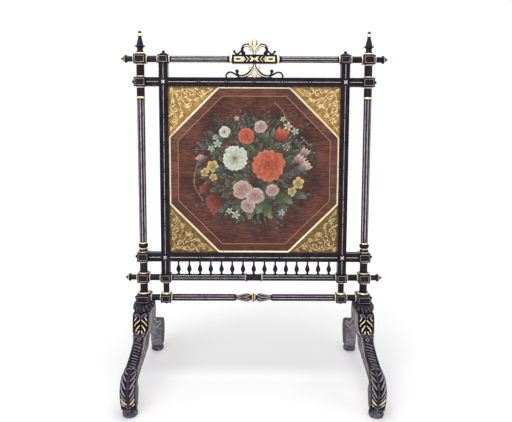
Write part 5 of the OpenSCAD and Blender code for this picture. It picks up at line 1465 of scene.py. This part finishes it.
def makeFoliageTree():  # leaves strewn over the piece's face, pointing away from the bouquet's middle
    tree, given = newTree("foliage", [("Density", "Float", 3000.0), ("Seed", "Int", 1), ("Leaf", "Object", None),
                                      ("Size", "Float", 1.0), ("Stray", "Float", 0.9), ("Middle", "Vector", None),
                                      ("Material", "Material", None)])
    points = addNode(tree, "GeometryNodeDistributePointsOnFaces", {
        "Mesh": given["Geometry"], "Density": given["Density"], "Seed": given["Seed"]}).outputs["Points"]
    place = addNode(tree, "GeometryNodeInputPosition").outputs[0]
    away = addNode(tree, "ShaderNodeVectorMath", {0: place, 1: given["Middle"]}, operation="SUBTRACT").outputs[0]
    parts = addNode(tree, "ShaderNodeSeparateXYZ", {0: away}).outputs
    lean = addNode(tree, "ShaderNodeMath", {0: parts["X"], 1: parts["Z"]}, operation="ARCTAN2").outputs[0]
    stray = addNode(tree, "FunctionNodeRandomValue", {2: -1.0, 3: 1.0, "Seed": given["Seed"]}).outputs[1]
    turn = addNode(tree, "ShaderNodeMath", {0: stray, 1: given["Stray"], 2: lean}, operation="MULTIPLY_ADD").outputs[0]
    tint = addNode(tree, "FunctionNodeRandomValue", {2: 0.0, 3: 1.0}).outputs[1]
    size = addNode(tree, "ShaderNodeMapRange", {"Value": tint, "To Min": 0.65, "To Max": 1.25}).outputs[0]
    size = addNode(tree, "ShaderNodeMath", {0: size, 1: given["Size"]}, operation="MULTIPLY").outputs[0]
    leaf = addNode(tree, "GeometryNodeObjectInfo", {"Object": given["Leaf"]}).outputs["Geometry"]
    leaves = addNode(tree, "GeometryNodeInstanceOnPoints", {
        "Points": points, "Instance": leaf, "Rotation": addNode(tree, "ShaderNodeCombineXYZ", {"Y": turn}).outputs[0],
        "Scale": size}).outputs[0]
    leaves = addNode(tree, "GeometryNodeStoreNamedAttribute", {"Geometry": leaves, "Name": "tint", "Value": tint},
                     data_type="FLOAT", domain="INSTANCE").outputs[0]
    endTree(tree, leaves, given["Material"])
    return tree


foliageTree = makeFoliageTree()
foliage = {  # leaf, paint, leaves a square decimetre, size, stray, reach across and up, layer
    "foliageDim": ("willowLeaf", "dim", 40, 1.8, 0.8, 128, 138, "sprays"),
    "foliageGrey": ("roundLeaf", "grey", 18, 1.5, 0.9, 124, 130, "sprays"),
    "foliageGreen": ("willowLeaf", "leaf", 32, 1.6, 0.8, 112, 120, "leaves"),
    "foliageBright": ("fernLeaf", "bright", 30, 1.5, 1.1, 92, 104, "leaves"),
}
for name, (leaf, paint, density, size, stray, wide, tall, layer) in foliage.items():
    bed = newShape()
    rim = []
    for c in range(28):
        a = math.tau * c / 28
        reach = 1 + 0.13 * math.sin(3 * a + len(name)) + 0.1 * math.sin(5 * a + 1.3 * len(name))
        rim.append(onBoard(wide * reach * math.sin(a), 2 + tall * reach * math.cos(a), layer)[:3])
    addTo(bed, [onBoard(0, 2, layer)[:3]] + rim, [[0, 1 + c, 1 + (c + 1) % 28] for c in range(28)])
    piece = newPiece(name, meshFrom(name, bed, [], fixNormals=False))
    grow(piece, foliageTree, {"Density": density * 100.0, "Seed": len(name), "Leaf": leafKinds[leaf], "Size": size,
                              "Stray": stray, "Middle": onBoard(0, -30, layer)[:3], "Material": paints[paint]}, 60)
    hold(piece, "painted_board")

bloom("broadLeaves", petal("broadLeaf", 56, 34, 0.8, 0.6, 0.45, 9, 7), "bright",
      [(22, -78, 152, 1.0), (30, -66, 205, 0.95), (56, -62, 116, 0.9), (-4, -84, 192, 0.8)], "leaves",
      **{"Copies": 1, "Per Ring": 1})
bloom("greyLeaves", petal("greyLeaf", 44, 23, 0.7, 0.6, 0.45, 9, 7), "grey",
      [(94, -4, 70, 1), (-72, 0, 280, 0.9), (-10, 80, 345, 0.9), (66, 44, 40, 1), (-74, 66, 320, 0.8), (98, -58, 105, 0.9),
       (-66, -88, 235, 0.85), (44, 76, 10, 0.8)], "leaves", **{"Copies": 1, "Per Ring": 1})
bloom("deepLeaves", petal("deepLeaf", 38, 17, 0.7, 0.65, 0.45, 9, 7), "leaf",
      [(8, 34, 330, 1), (-6, -6, 300, 1), (14, -34, 120, 1), (0, 16, 60, 0.9), (-24, -20, 250, 1), (40, -40, 160, 1),
       (-40, 70, 10, 0.9), (74, 20, 80, 1), (-30, -74, 200, 1), (10, -52, 230, 0.9), (-62, 22, 290, 0.9), (24, 66, 20, 1),
       (-86, 36, 300, 0.9), (62, -76, 140, 1), (-84, -44, 255, 0.9), (98, 40, 60, 0.8)], "leaves",
      **{"Copies": 1, "Per Ring": 1})
bloom("peonyPetals", ruffled(petal("peonyPetal", 38, 34, 0.8, 1.6, 0.3, 15, 11, 0.4), 14, 0.6), "orange", [(36, 14, 0, 1.12), (-20, 88, 80, 0.56)],
      **{"Copies": 26, "Per Ring": 7, "Ring Shrink": 0.25, "Ring Lift": 0.3 * mm, "Ring Turn": 0.41, "Jitter": 0.2})
bloom("anemonePetals", ruffled(petal("anemonePetal", 31, 21, 0.7, 1.5, 0.3, 13, 9, 0.4), 17, 0.5), "white", [(-48, 32, 0, 1.1), (-74, 98, 20, 0.5)],
      **{"Copies": 21, "Per Ring": 9, "Ring Shrink": 0.24, "Ring Lift": 0.3 * mm, "Ring Turn": 0.36, "Jitter": 0.16})
bloom("anemoneHearts", petal("anemoneHeart", 8, 5, 0.9, 0.7, 0.1), "heart", [(-48, 32, 0, 1), (-74, 98, 20, 0.5)], "hearts",
      **{"Copies": 18, "Per Ring": 9, "Ring Shrink": 0.45, "Ring Turn": 0.35, "Jitter": 0.1})
bloom("carnationPetals", ruffled(petal("carnationPetal", 25, 18, 0.7, 1.7, 0.2, 13, 11, 0.4), 24, 0.5), "pink",
      [(-30, -46, 0, 1.05), (4, -62, 30, 0.95), (-14, -88, 70, 0.8), (46, -48, 15, 0.7), (16, 112, 10, 0.7)],
      **{"Copies": 34, "Per Ring": 10, "Ring Shrink": 0.25, "Ring Lift": 0.22 * mm, "Ring Turn": 0.4, "Jitter": 0.22})
primroses = [(-104, 12, 30, 0.95), (-124, -4, 5, 0.7), (-102, -16, 50, 0.62), (112, -30, 0, 0.95), (96, -52, 25, 0.75),
             (80, 60, 12, 0.6)]
bloom("primrosePetals", petal("primrosePetal", 18, 16, 0.6, 1.1, 0.35, 7, 5, 0.6), "yellow", primroses,
      **{"Copies": 5, "Per Ring": 5, "Jitter": 0.09})
bloom("primroseHearts", petal("primroseHeart", 4.6, 3.2, 0.5, 0.8, 0.1), "heart", primroses, "hearts",
      **{"Copies": 6, "Per Ring": 6})
bloom("jasminePetals", petal("jasminePetal", 12.5, 6.4, 0.5, 0.9, 0.25), "white",
      [(-92, 68, 0, 1), (-108, 56, 30, 0.8), (-98, 84, 10, 0.65), (84, 112, 10, 1.05), (102, 100, 50, 0.85), (72, 130, 25, 0.65),
       (-46, -112, 15, 1), (-62, -102, 40, 0.75), (132, 20, 20, 0.7), (-44, 132, 60, 0.6), (70, -106, 5, 0.8)],
      **{"Copies": 5, "Per Ring": 5, "Jitter": 0.12})


def tulips(name, paint, places):  # three upright petals that close on each other
    bloom(name, petal(name + "Petal", 42, 20, 1.0, 0.62, 0.2, 9, 5), paint,
          [(x + dx, z, turn + lean, size) for x, z, turn, size in places for dx, lean in ((-3, -16), (3, 16), (0, 0))],
          **{"Copies": 1, "Per Ring": 1})


tulips("madderTulips", "red", [(-80, -70, 222, 1.25), (-112, -40, 250, 0.8), (-94, -62, 236, 0.9)])
tulips("orangeTulips", "orange", [(62, 76, 24, 0.95)])
tulips("pinkBuds", "pink", [(104, 22, 50, 0.7), (116, 6, 64, 0.75), (120, 40, 40, 0.6), (-126, 30, 290, 0.5)])
print("board and bouquet painted")


# ---- the back of the panel

backLook = {"dark": "#5c4630", "wood": "#86694a", "light": "#a3845c", "strip": "#2a2320", "brass": "#b08a48"}
pine = veneer("agedPineBoard", backLook["dark"], backLook["wood"], backLook["light"], 4, patchy=0.15)
stripWood = veneer("stainedPineStrip", "#1c1614", backLook["strip"], "#3f342e", 3)
brass, tree, shader = newMaterial("tarnishedBrass")  # dull brass of the pin heads
shader.inputs["Base Color"].default_value = toLinear(backLook["brass"])
shader.inputs["Metallic"].default_value = 1.0
tree.links.new(ramp(tree, patternFrom(tree, 2 * mm), [(0.3, 0.32), (0.7, 0.5)]), shader.inputs["Roughness"])
dressed("backboard", "pineBackboard", lambda c, n: 0, [pine], "bare_wood")
dressed("panel_beads", "panelBeads", lambda c, n: 0, [stripWood], "ebonised")
dressed("panel_pins", "panelPins", lambda c, n: 0, [brass], "pin_brass")
dressed("leg_dowels", "legDowels", lambda c, n: 0, [pine], "bare_wood")
print("back of the panel dressed")


# ---- room, lamps and camera

roomLook = {"floor": "#f7f6f7", "world": 0.45, "key": 26, "fill": 8, "top": 30, "glow": 0.14}


def makeRoom():
    world = bpy.data.worlds.new("paleStudio")
    bpy.context.scene.world = world
    world.use_nodes = True
    tree = world.node_tree
    tree.nodes.clear()
    seen = addNode(tree, "ShaderNodeLightPath").outputs
    lit = addNode(tree, "ShaderNodeBackground", {"Color": (1, 1, 1, 1), "Strength": roomLook["world"]})
    shown = addNode(tree, "ShaderNodeBackground", {"Color": (1, 1, 1, 1), "Strength": 1.0})
    direct = addNode(tree, "ShaderNodeMath", {0: seen["Is Camera Ray"], 1: seen["Is Glossy Ray"]}, operation="MAXIMUM")
    direct = addNode(tree, "ShaderNodeMath", {0: direct.outputs[0], 1: seen["Is Transmission Ray"]}, operation="MAXIMUM")
    mixed = addNode(tree, "ShaderNodeMixShader", {0: direct.outputs[0], 1: lit.outputs[0], 2: shown.outputs[0]})
    addNode(tree, "ShaderNodeOutputWorld", {"Surface": mixed.outputs[0]})

    paper, tree, shader = newMaterial("paperSweep")  # seamless paper: even white that keeps the soft shadows
    shader.inputs["Base Color"].default_value = toLinear(roomLook["floor"])
    shader.inputs["Roughness"].default_value = 0.9
    shader.inputs["Specular IOR Level"].default_value = 0.1
    seen = addNode(tree, "ShaderNodeLightPath").outputs
    direct = addNode(tree, "ShaderNodeMath", {0: seen["Is Camera Ray"], 1: seen["Is Glossy Ray"]}, operation="MAXIMUM")
    place = addNode(tree, "ShaderNodeTexCoord").outputs["Object"]
    away = addNode(tree, "ShaderNodeVectorMath", {0: place}, operation="LENGTH").outputs["Value"]
    level = addNode(tree, "ShaderNodeMapRange", {"Value": away, "From Min": 0.42, "From Max": 1.9,
                                                 "To Min": roomLook["glow"], "To Max": 0.6}).outputs[0]
    glow = addNode(tree, "ShaderNodeMath", {0: direct.outputs[0], 1: level}, operation="MULTIPLY").outputs[0]
    shader.inputs["Emission Color"].default_value = toLinear("#ffffff")
    tree.links.new(glow, shader.inputs["Emission Strength"])
    shape = newShape()
    reach = 14
    addTo(shape, [(-reach, -reach, 0), (reach, -reach, 0), (reach, reach, 0), (-reach, reach, 0)], [[0, 1, 2, 3]])
    floor = newPiece("floor", meshFrom("floor", shape, [paper], fixNormals=False))


def addLamp(name, place, target, size, watts):
    data = bpy.data.lights.new(name, "AREA")
    data.shape = "DISK"
    data.size = size
    data.energy = watts
    lamp = bpy.data.objects.new(name, data)
    bpy.context.scene.collection.objects.link(lamp)
    lamp.location = place
    lamp.rotation_euler = (Vector(target) - Vector(place)).to_track_quat("-Z", "Y").to_euler()


def makeLamps():
    target = (0, 0, 0.5)
    addLamp("keyLamp", (-1.2, -2.35, 2.2), target, 1.5, roomLook["key"])
    addLamp("fillLamp", (2.4, -1.8, 1.5), target, 1.8, roomLook["fill"])
    addLamp("topLamp", (0.0, -0.3, 2.6), target, 1.6, roomLook["top"])


cameraLook = {"place": (0.001, -1.625, 0.821), "down": 5.73, "turn": -0.17, "roll": 0.22, "lens": 37.9, "shiftY": -0.08}


def makeCamera():
    data = bpy.data.cameras.new("camera")
    data.lens = cameraLook["lens"]
    data.sensor_width = 36
    data.sensor_fit = "HORIZONTAL"
    data.shift_y = cameraLook["shiftY"]
    camera = bpy.data.objects.new("camera", data)
    bpy.context.scene.collection.objects.link(camera)
    turned = (Matrix.Rotation(math.radians(cameraLook["turn"]), 4, "Z")
              @ Matrix.Rotation(math.radians(90 - cameraLook["down"]), 4, "X")
              @ Matrix.Rotation(math.radians(cameraLook["roll"]), 4, "Z"))
    camera.matrix_world = Matrix.Translation(cameraLook["place"]) @ turned
    bpy.context.scene.camera = camera


makeRoom()
makeLamps()
makeCamera()
bpy.context.scene.view_settings.view_transform = "Standard"
print("room, lamps and camera made")
